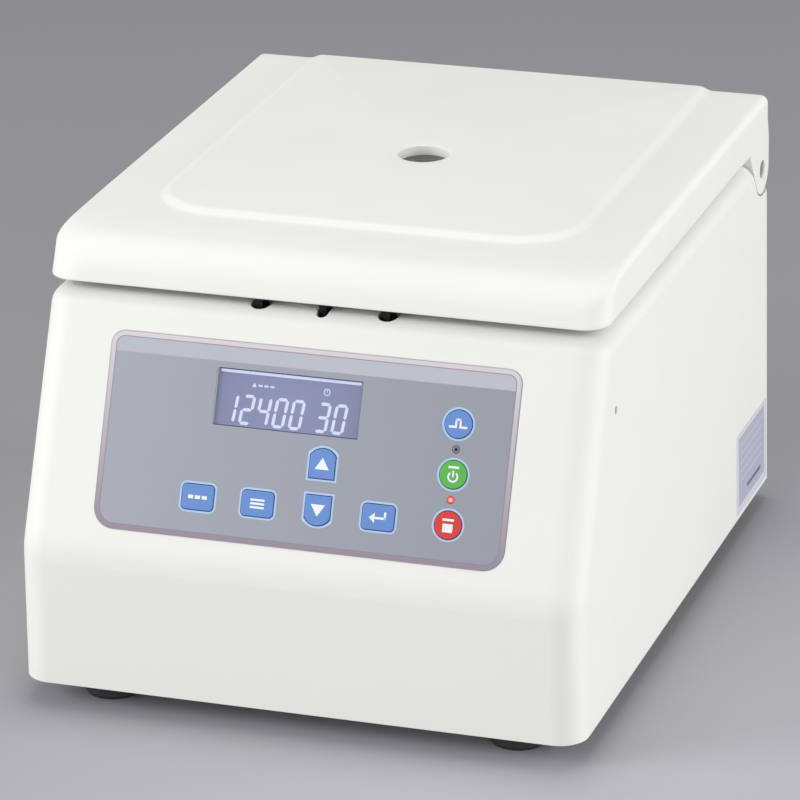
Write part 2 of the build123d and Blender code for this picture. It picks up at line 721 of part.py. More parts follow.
def pin_hole():
    """The right ear's hole for its pin, with a counterbore for the pin's head."""
    bore = hinge_place(0) * post(HINGE_PIN_RADIUS, EAR_INNER - 1, LID_HALF + 1)
    return bore + hinge_place(0) * post(HINGE_PIN_HEAD + 0.15, LID_HALF - 2.2, LID_HALF + 2)


def hinge_pins():
    """The two headed steel pins, pressed into the ears and turning in the brackets."""
    pin = post(HINGE_PIN_RADIUS, EAR_INNER - BRACKET_THICKNESS - 2, LID_HALF - 2.2)
    pin += post(HINGE_PIN_HEAD, LID_HALF - 2.2, LID_HALF - 0.6)
    return group(mirrored(hinge_place(0) * pin))


def bracket_slot():
    """The slot in the trough that the right hinge bracket stands through."""
    x = (EAR_INNER - BRACKET_THICKNESS - 2, EAR_INNER)
    return block(x, (HINGE_Y - 14.5, HINGE_Y + 8.5), (HINGE_HEIGHT - 25, DECK_HEIGHT + 1))


def bracket_notch():
    """The cut in the lid's rear skin that clears the right bracket as the lid swings."""
    x = (EAR_INNER - BRACKET_THICKNESS - 2.5, EAR_INNER)
    return block(x, (HINGE_Y - 20, REAR + 1), (HINGE_HEIGHT - EAR_RADIUS - 2, HINGE_HEIGHT + 0.5))


def bracket_pad():
    """The block on the right wall that the hinge bracket is screwed to."""
    low = HINGE_HEIGHT - BRACKET_DROP
    return block((EAR_INNER - 0.9, WIDTH / 2 - WALL), (HINGE_Y - 12, HINGE_Y), (low, low + 20))


def hinge_brackets():
    """Two steel plates with a bored knuckle, screwed to the pads inside the side walls."""
    low = HINGE_HEIGHT - BRACKET_DROP
    x = EAR_INNER - 1 - BRACKET_THICKNESS
    arm = block((x, x + BRACKET_THICKNESS), (HINGE_Y - 12, HINGE_Y), (low, HINGE_HEIGHT))
    knuckle = hinge_place(0) * post(HINGE_KNUCKLE, x, x + BRACKET_THICKNESS)
    shoulder = block((0, WIDTH), (HINGE_Y - 13, HINGE_Y - HINGE_KNUCKLE), (HINGE_HEIGHT - 9, HINGE_HEIGHT))
    bore = hinge_place(0) * post(HINGE_PIN_RADIUS + RUNNING, x - 1, x + 9)
    return group(mirrored(arm + knuckle - shoulder - bore))


def lid_liner():
    """The inner plate that closes the lid's underside."""
    gap = WALL + 0.6
    half = LID_HALF - gap
    radius = LID_CORNER_RADIUS - gap
    rear = slanted(EAR_RADIUS, LID_EDGE) - WALL - 1
    front = LID_FRONT + gap + 0.6
    plan = [(-half, rear, 0), (-half, front, radius), (half, front, radius), (half, rear, 0)]
    plate = slab(Plane.XY, rounded_face(plan), LINER_LOW, LINER_LOW + LINER_THICKNESS)
    plate -= SPIN * post(PORT_TUBE_RADIUS + FIT, LID_EDGE, LID_TOP)
    for x, y in lid_screw_places():
        plate -= Pos(x, y) * post(1.6, LID_EDGE, LID_TOP)
    return plate


def lid_screws():
    """Six screws from below, through the liner into the lid's bosses."""
    screw = post(2.8, LINER_LOW - 1.5, LINER_LOW) + post(1.4, LINER_LOW, LID_TOP - 7)
    return group([Pos(x, y) * screw for x, y in lid_screw_places()])


def lid_gasket():
    """The rubber ring under the liner that closes on the bowl's flange."""
    inner = BOWL_FLANGE - GASKET_WIDTH
    return SPIN * post(BOWL_FLANGE, LINER_LOW - GASKET_THICKNESS, LINER_LOW, inner)


def view_port():
    """The clear port in the lid: a disc in the recess with a tube down to the liner."""
    glass_low = PANEL_TOP - PORT_RECESS
    disc = post(PORT_RADIUS - 0.1, glass_low, glass_low + PORT_GLASS)
    return SPIN * (disc + post(PORT_TUBE_RADIUS, LINER_LOW, glass_low, PORT_TUBE_RADIUS - 1.4))


# ---- Lid lock
def lock_slots():
    """The three slots in the deck, round at the front, for the lid's blades."""
    rear = LOCK_Y + STRIKER_DEPTH / 2 + 2.5
    slots = []
    for x, width, front in (
        (-LOCK_SPREAD, SLOT_WIDTH, LOCK_Y - STRIKER_DEPTH / 2 - 1.5),
        (LOCK_SPREAD, SLOT_WIDTH, LOCK_Y - STRIKER_DEPTH / 2 - 1.5),
        (0, FLAG_SLOT_WIDTH, LOCK_Y - STRIKER_DEPTH / 2 - 2.5),
    ):
        left = x - width / 2
        right = x + width / 2
        bend = 0.45 * width
        outline = rounded_face([(left, rear, 0), (left, front, bend), (right, front, bend), (right, rear, 0)])
        slots.append(slab(Plane.XY, outline, DECK_HEIGHT - 2 * WALL, DECK_HEIGHT + 1))
    return slots


def lid_strikers():
    """The blades under the lid: two with a window for the lock's finger, one for the sensor."""
    y = (LOCK_Y - STRIKER_DEPTH / 2, LOCK_Y + STRIKER_DEPTH / 2)
    window_z = (SLIDE_LOW - 1, SLIDE_LOW + SLIDE_SECTION + 1)
    strikers = []
    for x in (-LOCK_SPREAD, LOCK_SPREAD):
        span = (x - STRIKER_THICKNESS / 2, x + STRIKER_THICKNESS / 2)
        plate = block(span, y, (LINER_LOW - STRIKER_DROP, LINER_LOW))
        strikers.append(plate - block((x - 5, x + 5), (LOCK_Y - 2.5, LOCK_Y + 2.5), window_z))
    flag_y = (LOCK_Y - 3.5, LOCK_Y + 3.5)
    strikers.append(block((-1.5, 1.5), flag_y, (LINER_LOW - STRIKER_DROP + 3, LINER_LOW)))
    return group(strikers)


def lid_sensor():
    """A forked light sensor that sees the flag of the closed lid."""
    top = LOCK_PLATE_LOW + 2
    fork = block((-6, 6), (LOCK_Y - 4, LOCK_Y + 4), (top, top + 13))
    return fork - block((-2.5, 2.5), (LOCK_Y - 5, LOCK_Y + 5), (top + 2.5, top + 14))


def lock_housing():
    """The steel tray of the lock, hung from the deck on four posts, with two guides for the slide."""
    low = LOCK_PLATE_LOW
    top = low + 2
    tray = block((-46, 46), (LOCK_Y - 3, TRAY_REAR), (low, top))
    tray -= block((28, 44), (SLIDE_Y - 4, SLIDE_Y + 4), (low - 1, top + 1))
    for x in (-43, 43):
        for y in (LOCK_Y + 1.6, TRAY_REAR - 4):
            tray += Pos(x, y) * post(2.8, top, DECK_HEIGHT - WALL)
    for x in (-12, 8):
        tray += block((x - 3, x + 3), (SLIDE_Y - 2, SLIDE_Y + 2), (top, SLIDE_LOW - FIT))
    return tray


def lock_solenoid():
    """The coil that draws the slide, standing on the tray."""
    top = LOCK_PLATE_LOW + 2
    body = block((-20, 20), (SLIDE_Y + 5, SLIDE_Y + 25), (top, top + 16))
    bore = plunger_place() * post(4.0, -21, 21)
    return body - bore


def plunger_place():
    return Pos(0, SLIDE_Y + 15, SLIDE_LOW + SLIDE_SECTION / 2) * Rot(0, 90, 0)


def lock_slide():
    """The sliding bar with two fingers, the plunger and the tab for opening by hand, drawn released."""
    z = (SLIDE_LOW, SLIDE_LOW + SLIDE_SECTION)
    bar_y = (SLIDE_Y - 2, SLIDE_Y + 2)
    arm_y = (LOCK_Y - 1.5, SLIDE_Y)
    finger_y = (LOCK_Y - 1.5, LOCK_Y + 1.5)
    bar = block((-40, 40), bar_y, z)
    for x in (-LOCK_SPREAD, LOCK_SPREAD):
        tip = x - STRIKER_THICKNESS / 2 - 1.1
        bar += block((tip - 8.4, tip - 4.4), arm_y, z)
        bar += block((tip - 8.4, tip), finger_y, z)
    bar += block((-40, -36), (SLIDE_Y, SLIDE_Y + 18), z)
    bar += plunger_place() * post(3.7, -38, 4)
    return bar + block((35, 38), (SLIDE_Y - 2, SLIDE_Y + 2), (RELEASE_HEIGHT - 4, z[1]))


# ---- Rotor chamber
def chamber_bowl():
    """The drawn steel bowl that hangs by its flange on the deck."""
    outer = CHAMBER_RADIUS + BOWL_SHEET
    floor = CHAMBER_FLOOR
    wall = slab(Plane.XY, Circle(outer), floor - BOWL_SHEET, FLANGE_TOP)
    wall = fillet(wall.faces().sort_by(Axis.Z)[0].edges(), CHAMBER_CORNER + BOWL_SHEET)
    space = slab(Plane.XY, Circle(CHAMBER_RADIUS), floor, FLANGE_TOP + 5)
    space = fillet(space.faces().sort_by(Axis.Z)[0].edges(), CHAMBER_CORNER)
    flange = post(BOWL_FLANGE, DECK_HEIGHT, FLANGE_TOP, CHAMBER_RADIUS + 0.2)
    return SPIN * (wall + flange - space - post(BOWL_HOLE, 0, DECK_HEIGHT))


def guard_ring():
    """The steel ring round the bowl that holds a burst rotor, under the deck."""
    return SPIN * post(GUARD_OUTER, GUARD_LOW, DECK_HEIGHT - WALL, GUARD_RADIUS)


def chamber_boot():
    """The rubber grommet that closes the bowl's floor round the motor."""
    low = CHAMBER_FLOOR - BOWL_SHEET
    inner = SPINDLE_RADIUS + 3
    lip = BOWL_HOLE + 3
    return SPIN * turned(
        [
            (inner, MOTOR_TOP),
            (BOWL_HOLE - FIT, MOTOR_TOP),
            (BOWL_HOLE - FIT, low - 2.2),
            (lip, low - 1.8),
            (lip, low - 0.2),
            (BOWL_HOLE - FIT, low - 0.2),
            (BOWL_HOLE - FIT, CHAMBER_FLOOR + 0.2),
            (lip, CHAMBER_FLOOR + 0.2),
            (lip, CHAMBER_FLOOR + 1.4),
            (inner, CHAMBER_FLOOR + 1.8),
        ]
    )


# ---- Motor
def motor_mount_places():
    return [(x, CHAMBER_Y + y) for x in (-MOUNT_SPREAD, MOUNT_SPREAD) for y in (-MOUNT_SPREAD, MOUNT_SPREAD)]


def motor_mounts():
    """Four rubber mounts between the base and the motor's plate."""
    return group([Pos(x, y) * post(MOUNT_RADIUS, BASE_TOP, MOUNT_PLATE_LOW) for x, y in motor_mount_places()])


def motor_plate():
    """The steel plate that carries the motor."""
    size = 2 * (MOUNT_SPREAD + MOUNT_RADIUS + 3)
    return slab(SPIN, RectangleRounded(size, size, 10), MOUNT_PLATE_LOW, MOTOR_LOW)


def motor_housing():
    """The motor's can, with the seat of the lower bearing in its floor."""
    floor = MOTOR_LOW + 5
    can = post(MOTOR_RADIUS, MOTOR_LOW, MOTOR_TOP - 6) - post(MOTOR_RADIUS - MOTOR_WALL, floor, MOTOR_TOP)
    seat = post(LOWER_BEARING_RADIUS + 3, floor, floor + BEARING_HEIGHT, LOWER_BEARING_RADIUS + RUNNING)
    return SPIN * (can + seat - post(SHAFT_RADIUS + 1, MOTOR_LOW + 2, floor + 1))


def motor_cap():
    """The motor's end cap, with the seat of the upper bearing."""
    low = MOTOR_TOP - 6
    cap = post(MOTOR_RADIUS, low, MOTOR_TOP) + post(UPPER_BEARING_RADIUS + 3, low - 4, low)
    cap -= post(UPPER_BEARING_RADIUS + RUNNING, low - 5, low - 4 + BEARING_HEIGHT)
    return SPIN * (cap - post(SHAFT_RADIUS + 2, low, MOTOR_TOP + 1))


def motor_bearings():
    """The lower and the upper bearing of the motor's shaft."""
    seats = [(LOWER_BEARING_RADIUS, MOTOR_LOW + 5), (UPPER_BEARING_RADIUS, MOTOR_TOP - 10)]
    bore = SHAFT_RADIUS + RUNNING
    return group([SPIN * post(radius, low, low + BEARING_HEIGHT, bore) for radius, low in seats])


def motor_stator():
    """The slotted iron ring with its windings, fixed in the can."""
    low = MOTOR_LOW + 15
    ring = post(MOTOR_RADIUS - MOTOR_WALL - RUNNING, low, low + STATOR_HEIGHT, STATOR_BORE)
    slot = Pos((STATOR_BORE + MOTOR_RADIUS) / 2 - 4, 0, low) * Box(9, 4, 4 * STATOR_HEIGHT)
    for i in range(9):
        ring -= Rot(0, 0, 40 * i) * slot
    return SPIN * ring


def motor_magnet():
    """The magnet ring on the shaft."""
    low = MOTOR_LOW + 17
    return SPIN * post(STATOR_BORE - 0.7, low, low + STATOR_HEIGHT - 4, SHAFT_RADIUS)


def motor_shaft():
    """The drive shaft, with a shoulder for the rotor and a threaded end for its knob."""
    low = MOTOR_LOW + 3
    hub_top = RIM_TOP - 6
    shaft = post(SHAFT_RADIUS, low, ROTOR_SEAT - 2) + post(11, ROTOR_SEAT - 2, ROTOR_SEAT)
    shaft += post(SPINDLE_RADIUS, ROTOR_SEAT, hub_top) + post(THREAD_RADIUS, hub_top, COVER_TOP + 3)
    return SPIN * shaft


# ---- Rotor
def angle_rotor():
    """The fixed-angle rotor: a ring of slanted tube holes round a central hub."""
    slant = math.sqrt(0.5)
    reach = TUBE_HOLE_RADIUS + 2.4
    mouth_in = (TUBE_MOUTH_RADIUS - reach * slant, TUBE_MOUTH_RISE - reach * slant)
    mouth_out = (TUBE_MOUTH_RADIUS + ROTOR_RIM_RISE - TUBE_MOUTH_RISE, ROTOR_RIM_RISE)
    under = TUBE_HOLE_RADIUS + ROTOR_WALL
    sum_under = TUBE_MOUTH_RADIUS + TUBE_MOUTH_RISE - 2 * under * slant
    roof = mouth_in[1] - 9
    bore = SPINDLE_RADIUS + RUNNING
    outline = [
        (bore, 0),
        (ROTOR_HUB_RADIUS + 2, 0),
        (ROTOR_HUB_RADIUS + 2, roof - 3),
        (sum_under - roof + 3, roof - 3),
        (sum_under - 4, 4),
        (ROTOR_RADIUS - 6, 4),
        (ROTOR_RADIUS, 10),
        (ROTOR_RADIUS, ROTOR_RIM_RISE - 3),
        (ROTOR_RADIUS - 3, ROTOR_RIM_RISE),
        mouth_out,
        mouth_in,
        (mouth_in[0], mouth_in[1] - 4),
        (ROTOR_HUB_RADIUS, mouth_in[1] - 4),
        (ROTOR_HUB_RADIUS, ROTOR_RIM_RISE - 6),
        (bore, ROTOR_RIM_RISE - 6),
    ]
    body = turned(outline)
    mouth = Pos(TUBE_MOUTH_RADIUS, 0, TUBE_MOUTH_RISE) * Rot(0, 135, 0)
    hole = mouth * post(TUBE_HOLE_RADIUS, -10, TUBE_HOLE_DEPTH)
    for i in range(ROTOR_PLACES):
        body -= Rot(0, 0, 360 / ROTOR_PLACES * i) * hole
    return SPIN * Pos(0, 0, ROTOR_SEAT) * body


def rotor_cover():
    """The cover over the tubes, with a boss down to the rotor's hub."""
    low = RIM_TOP + FIT
    cover = post(ROTOR_RADIUS - 4, low, COVER_TOP) + post(12, RIM_TOP - 6 + FIT, low)
    cover = fillet(cover.faces().sort_by(Axis.Z)[-1].edges(), 1.0)
    return SPIN * (cover - post(THREAD_RADIUS + FIT, RIM_TOP - 10, COVER_TOP + 1))


def rotor_knob():
    """The fluted knob that clamps the cover and the rotor to the shaft."""
    knob = post(KNOB_RADIUS, COVER_TOP + 0.1, COVER_TOP + 0.1 + KNOB_HEIGHT)
    flute = Pos(KNOB_RADIUS + 2, 0) * post(3.5, COVER_TOP, COVER_TOP + 10)
    for i in range(KNOB_FLUTES):
        knob -= Rot(0, 0, 360 / KNOB_FLUTES * i) * flute
    knob = fillet(knob.faces().sort_by(Axis.Z)[-1].edges(), 0.6)
    return SPIN * (knob - post(THREAD_RADIUS + RUNNING, COVER_TOP, COVER_TOP + 3.5))


# ---- Rear panel
def rear_screw_places():
    x = REAR_PANEL_WIDTH / 2 - REAR_PANEL_MARGIN / 2
    return [(side * x, z) for side in (-1, 1) for z in (REAR_PANEL_LOW + 4, REAR_PANEL_HIGH - 4)]


def rear_panel():
    """The sheet inside the rear window that carries the inlet, the switch and the fan."""
    middle = (REAR_PANEL_LOW + REAR_PANEL_HIGH) / 2
    outline = Pos(0, middle) * Rectangle(REAR_PANEL_WIDTH, REAR_PANEL_HIGH - REAR_PANEL_LOW)
    outline -= Pos(-INLET_X, REAR_ROW_HEIGHT) * Rectangle(INLET_WIDTH + 0.4, INLET_HEIGHT + 0.4)
    outline -= Pos(-SWITCH_X, REAR_ROW_HEIGHT) * Rectangle(SWITCH_WIDTH - 1.6, SWITCH_HEIGHT - 1.6)
    outline -= Pos(-FAN_X, REAR_ROW_HEIGHT) * Circle(FAN_BORE)
    panel = slab(REAR_FACE, outline, -REAR_PANEL_SHEET, 0)
    for x, z in rear_screw_places():
        panel -= slab(REAR_FACE, Pos(x, z) * Circle(1.6), -5, 1)
    return panel


def socket_outline(more=0.0):
    """The inlet's cavity: a rectangle with its two upper corners cut off."""
    half = SOCKET_WIDTH / 2 + more
    tall = SOCKET_HEIGHT / 2 + more
    cut = 4.5
    floor = [(-half, -tall), (half, -tall)]
    roof = [(half, tall - cut), (half - cut, tall), (cut - half, tall), (-half, tall - cut)]
    return make_face(Polyline(*floor, *roof, close=True))


def socket_centre():
    return (-INLET_X, REAR_ROW_HEIGHT + INLET_HEIGHT / 2 - SOCKET_HEIGHT / 2 - 2.4)


def drawer_centre():
    return (-INLET_X, REAR_ROW_HEIGHT - INLET_HEIGHT / 2 + DRAWER_HEIGHT / 2 + 2.2)


def power_inlet():
    """The appliance inlet with a flange outside the panel and a place for the fuse drawer."""
    middle = Pos(-INLET_X, REAR_ROW_HEIGHT)
    body = slab(REAR_FACE, middle * Rectangle(INLET_WIDTH, INLET_HEIGHT), -INLET_DEPTH + 2.4, 0)
    body += slab(REAR_FACE, middle * RectangleRounded(INLET_WIDTH + 4, INLET_HEIGHT + 4, 2.5), 0, 2.4)
    body -= slab(REAR_FACE, Pos(*socket_centre()) * socket_outline(), 2.4 - SOCKET_DEPTH, 5)
    drawer = Rectangle(DRAWER_WIDTH + 2 * FIT, DRAWER_HEIGHT + 2 * FIT)
    return body - slab(REAR_FACE, Pos(*drawer_centre()) * drawer, 2.4 - DRAWER_DEPTH - 0.6, 5)


def inlet_blades():
    """The three contact blades standing on the socket's floor."""
    x, z = socket_centre()
    floor = 2.4 - SOCKET_DEPTH
    places = [(x - 7, z - 2), (x + 7, z - 2), (x, z + 2.2)]
    return group([slab(REAR_FACE, Pos(*place) * Rectangle(2, 4), floor, floor + 11.5) for place in places])


def fuse_drawer():
    """The small drawer that holds the fuse."""
    x, z = drawer_centre()
    body = slab(REAR_FACE, Pos(x, z) * Rectangle(DRAWER_WIDTH, DRAWER_HEIGHT), 2.4 - DRAWER_DEPTH, 2.6)
    fuse_bay = Pos(x, z + 1) * Rectangle(DRAWER_WIDTH - 3, DRAWER_HEIGHT)
    return body - slab(REAR_FACE, fuse_bay, 4 - DRAWER_DEPTH, -1)


def switch_bezel():
    """The power switch's housing with its frame outside the panel."""
    middle = Pos(-SWITCH_X, REAR_ROW_HEIGHT)
    body = slab(REAR_FACE, middle * Rectangle(SWITCH_WIDTH - 2, SWITCH_HEIGHT - 2), -SWITCH_DEPTH, 0)
    body += slab(REAR_FACE, middle * RectangleRounded(SWITCH_WIDTH, SWITCH_HEIGHT, 1.5), 0, 1.6)
    pocket = slab(REAR_FACE, middle * Rectangle(ROCKER_WIDTH + 1, ROCKER_HEIGHT + 1.4), -12, 3)
    bearing = rocker_place() * Rot(0, 90, 0) * post(AXLE_RADIUS + RUNNING, -6.2, 6.2)
    return body - pocket - bearing


def rocker_place():
    return Pos(SWITCH_X, PANEL_FACE - AXLE_DEPTH, REAR_ROW_HEIGHT)


def power_rocker():
    """The rocker, pressed in at its upper end, on an axle in the housing."""
    half = ROCKER_HEIGHT / 2
    rise = half * math.tan(math.radians(ROCKER_TILT))
    face = [(2.0 + rise, -half), (2.0, 0), (2.0 + rise, half)]
    back = [(-3.0, half), (-7.5, 3.5), (-7.5, -3.5), (-3.0, -half)]
    outline = Plane.YZ * make_face(Polyline(*face, *back, close=True))
    paddle = extrude(outline, ROCKER_WIDTH / 2, both=True) + Rot(0, 90, 0) * post(AXLE_RADIUS, -6, 6)
    return rocker_place() * Rot(ROCKER_TILT, 0, 0) * paddle


def fan_centre(depth):
    """A place on the fan's axis, depth inside the panel's inner face, with Z towards the rear."""
    return REAR_FACE * Pos(-FAN_X, REAR_ROW_HEIGHT, -REAR_PANEL_SHEET - depth)


def fan_frame():
    """The fan's square frame with a motor boss on three struts."""
    place = fan_centre(FAN_DEPTH)
    frame = slab(place, RectangleRounded(FAN_SIZE, FAN_SIZE, 4) - Circle(FAN_BORE), 0, FAN_DEPTH)
    boss = slab(place, Circle(FAN_HUB - 1), 0, 2.6)
    strut = Pos(FAN_BORE / 2 + 2, 0) * Rectangle(FAN_BORE - 3, 3)
    for i in range(3):
        boss += slab(place, Rot(0, 0, 120 * i) * strut, 0, 2.6)
    return frame + boss - slab(place, Circle(1.55), -1, 4)


def fan_rotor():
    """The fan's hub, shaft and blades."""
    place = fan_centre(FAN_DEPTH)
    wheel = slab(place, Circle(FAN_HUB), 3.2, 21) + slab(place, Circle(1.5), 0.4, 3.2)
    span = FAN_BLADE_RADIUS - FAN_HUB + 2
    middle = (FAN_BLADE_RADIUS + FAN_HUB - 2) / 2
    blade = Pos(middle, 0, 12) * Rot(48, 0, 0) * Box(span, 1.6, 19)
    for i in range(FAN_BLADES):
        wheel += place * Rot(0, 0, 360 / FAN_BLADES * i) * blade
    trim = slab(place, Circle(FAN_BLADE_RADIUS), 0, 23)
    return wheel & trim


def fan_guard():
    """The finger guard outside the panel: three rings on four spokes."""
    place = REAR_FACE * Pos(-FAN_X, REAR_ROW_HEIGHT, 0)
    guard = slab(place, Circle(10), 0, 1.5) - slab(place, Circle(7), -1, 3)
    for radius in (18.5, 27.5):
        guard += slab(place, Circle(radius + 0.8) - Circle(radius - 0.8), 0, 1.5)
    for i in range(4):
        guard += slab(place, Rot(0, 0, 45 + 90 * i) * Pos(19.5, 0) * Rectangle(23, 1.6), 0, 1.5)
    return guard


# ---- Electronics on the base
def drive_post_places():
    x = DRIVE_BOARD_WIDTH / 2 - 4
    y = DRIVE_BOARD_LENGTH / 2 - 4
    return [(DRIVE_BOARD_X + side * x, DRIVE_BOARD_Y + end * y) for side in (-1, 1) for end in (-1, 1)]


def drive_board():
    """The motor drive's circuit board on its posts."""
    low = BASE_TOP + DRIVE_BOARD_LIFT
    outline = Pos(DRIVE_BOARD_X, DRIVE_BOARD_Y) * Rectangle(DRIVE_BOARD_WIDTH, DRIVE_BOARD_LENGTH)
    return slab(Plane.XY, outline, low, low + BOARD_THICKNESS)


def drive_capacitors():
    """Three reservoir capacitors on the drive board."""
    low = BASE_TOP + DRIVE_BOARD_LIFT + BOARD_THICKNESS
    can = Pos(DRIVE_BOARD_X, DRIVE_BOARD_Y) * post(CAPACITOR_RADIUS, low, low + CAPACITOR_HEIGHT)
    return group([Pos(0, y) * can for y in (14, 36, 58)])


def heat_sink():
    """The finned heat sink on the drive board."""
    low = BASE_TOP + DRIVE_BOARD_LIFT + BOARD_THICKNESS
    x = DRIVE_BOARD_X
    y = (DRIVE_BOARD_Y - 60, DRIVE_BOARD_Y - 10)
    sink = block((x - 16, x + 16), y, (low, low + 5))
    for i in range(6):
        sink += block((x - 16 + 6 * i, x - 14 + 6 * i), y, (low + 4, low + 28))
    return sink


def transformer():
    """The supply transformer: an iron core standing on the base with its coil round the middle limb."""
    x = WIDTH / 2 - TRANSFORMER_INSET
    y = DRIVE_BOARD_Y
    core = block((x - 12, x + 12), (y - 33, y + 33), (BASE_TOP, BASE_TOP + 54))
    coil = block((x - 20, x + 20), (y - 21, y + 21), (BASE_TOP + 10, BASE_TOP + 44))
    return core + coil


PARTS = {
    "cabinet": cabinet,
    "base_plate": base_plate,
    "casing_screws": casing_screws,
    "rubber_feet": rubber_feet,
    "panel_overlay": panel_overlay,
    "display_window": display_window,
    "display_module": display_module,
    "key_switches": key_switches,
    "control_board": control_board,
    "board_posts": board_posts,
    "rating_label": rating_label,
    "lid_cover": lid_cover,
    "lid_liner": lid_liner,
    "lid_screws": lid_screws,
    "lid_gasket": lid_gasket,
    "view_port": view_port,
    "hinge_pins": hinge_pins,
    "hinge_brackets": hinge_brackets,
    "lid_strikers": lid_strikers,
    "lid_sensor": lid_sensor,
    "lock_housing": lock_housing,
    "lock_solenoid": lock_solenoid,
    "lock_slide": lock_slide,
    "chamber_bowl": chamber_bowl,
    "guard_ring": guard_ring,
    "chamber_boot": chamber_boot,
    "motor_mounts": motor_mounts,
    "motor_plate": motor_plate,
    "motor_housing": motor_housing,
    "motor_cap": motor_cap,
    "motor_bearings": motor_bearings,
    "motor_stator": motor_stator,
    "motor_magnet": motor_magnet,
    "motor_shaft": motor_shaft,
    "angle_rotor": angle_rotor,
    "rotor_cover": rotor_cover,
    "rotor_knob": rotor_knob,
    "rear_panel": rear_panel,
    "power_inlet": power_inlet,
    "inlet_blades": inlet_blades,
    "fuse_drawer": fuse_drawer,
    "switch_bezel": switch_bezel,
    "power_rocker": power_rocker,
    "fan_frame": fan_frame,
    "fan_rotor": fan_rotor,
    "fan_guard": fan_guard,
    "drive_board": drive_board,
    "drive_capacitors": drive_capacitors,
    "heat_sink": heat_sink,
    "transformer": transformer,
}

os.makedirs("parts", exist_ok=True)
for name, make in PARTS.items():
    export_step(make(), f"parts/{name}.step")
for name in KEYS:
    export_step(key(name), f"parts/{name}.step")
for name in LEDS:
    export_step(light(name), f"parts/{name}.step")
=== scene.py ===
import json
import math

import bmesh
import bpy
from mathutils import Matrix, Vector


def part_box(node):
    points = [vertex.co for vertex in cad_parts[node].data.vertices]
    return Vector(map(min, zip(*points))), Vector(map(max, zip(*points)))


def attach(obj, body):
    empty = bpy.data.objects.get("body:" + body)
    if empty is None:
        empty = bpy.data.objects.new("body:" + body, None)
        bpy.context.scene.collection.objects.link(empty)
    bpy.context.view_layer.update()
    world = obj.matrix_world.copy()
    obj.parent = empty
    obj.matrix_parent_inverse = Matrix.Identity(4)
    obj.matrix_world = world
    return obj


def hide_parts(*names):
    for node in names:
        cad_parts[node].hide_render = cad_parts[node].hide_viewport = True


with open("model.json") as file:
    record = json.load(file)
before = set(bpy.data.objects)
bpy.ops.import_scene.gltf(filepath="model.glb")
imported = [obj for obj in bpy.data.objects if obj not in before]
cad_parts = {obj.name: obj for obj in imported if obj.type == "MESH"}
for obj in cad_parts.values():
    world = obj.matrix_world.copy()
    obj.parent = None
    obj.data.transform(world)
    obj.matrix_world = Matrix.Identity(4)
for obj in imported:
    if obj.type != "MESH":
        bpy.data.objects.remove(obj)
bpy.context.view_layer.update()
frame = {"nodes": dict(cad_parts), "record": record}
nodes = frame["nodes"]

# Everything below is written in millimetres and made into metres where a mesh or lamp is placed.
MM = 0.001

# ---- Camera, at the photograph's own angle
CAMERA_AZIMUTH = 18.78
CAMERA_ELEVATION = 21.33
CAMERA_ROLL = -1.07
CAMERA_DISTANCE = 2094.4
CAMERA_LENS = 221.95
CAMERA_TARGET = (-3.56, -0.28, 89.32)

# ---- Control face: its origin is the bottom of the slope, u runs up it and n out of it
FACE_FRONT = -149.5
FACE_LOW = 69.3
DECK_HEIGHT = 167.0
FACE_RUN = 41.07
FACE_LENGTH = math.hypot(FACE_RUN, DECK_HEIGHT - FACE_LOW)
FACE_UP = (FACE_RUN / FACE_LENGTH, (DECK_HEIGHT - FACE_LOW) / FACE_LENGTH)
FILM_WIDTH = 174.0
FILM_LOW = 11.5
FILM_HIGH = 92.2
FILM_TOP_RADIUS = 6.0
FILM_LOW_RADIUS = 9.0
FILM_BORDER = 2.4
FILM_BAND_LOW = 83.6
FILM_TOP = 0.2
DISPLAY_X = -9.5
DISPLAY_UP = 69.5
DISPLAY_WIDTH = 61.2
DISPLAY_HEIGHT = 22.6
DISPLAY_FRONT = -1.2
KEY_TOP = 0.7
KEY_FIT = 0.3
KEY_WIDTH = 13.4
KEY_HEIGHT = 10.2
KEY_CORNER = 1.6
KEY_RING = 0.85
ARROW_WIDTH = 10.6
ARROW_HEIGHT = 12.0
ARROW_SHOULDER = 3.0
ROUND_KEY_RADIUS = 5.6
ROUND_KEY_X = 62.6
KEY_ROW_UP = 28.1
ROUND_KEY_PITCH = 20.1
KEYS = {
    "set_key": ("flat", -43.0, KEY_ROW_UP),
    "mode_key": ("flat", -17.5, KEY_ROW_UP),
    "down_key": ("down", 8.0, KEY_ROW_UP),
    "enter_key": ("flat", 33.5, KEY_ROW_UP),
    "up_key": ("up", 8.0, 46.9),
    "stop_key": ("round", ROUND_KEY_X, KEY_ROW_UP),
    "start_key": ("round", ROUND_KEY_X, KEY_ROW_UP + ROUND_KEY_PITCH),
    "pulse_key": ("round", ROUND_KEY_X, KEY_ROW_UP + 2 * ROUND_KEY_PITCH),
}
RUN_LIGHT_UP = KEY_ROW_UP + 0.5 * ROUND_KEY_PITCH
READY_LIGHT_UP = KEY_ROW_UP + 1.5 * ROUND_KEY_PITCH

# ---- Chamber
CHAMBER_Y = 26.5

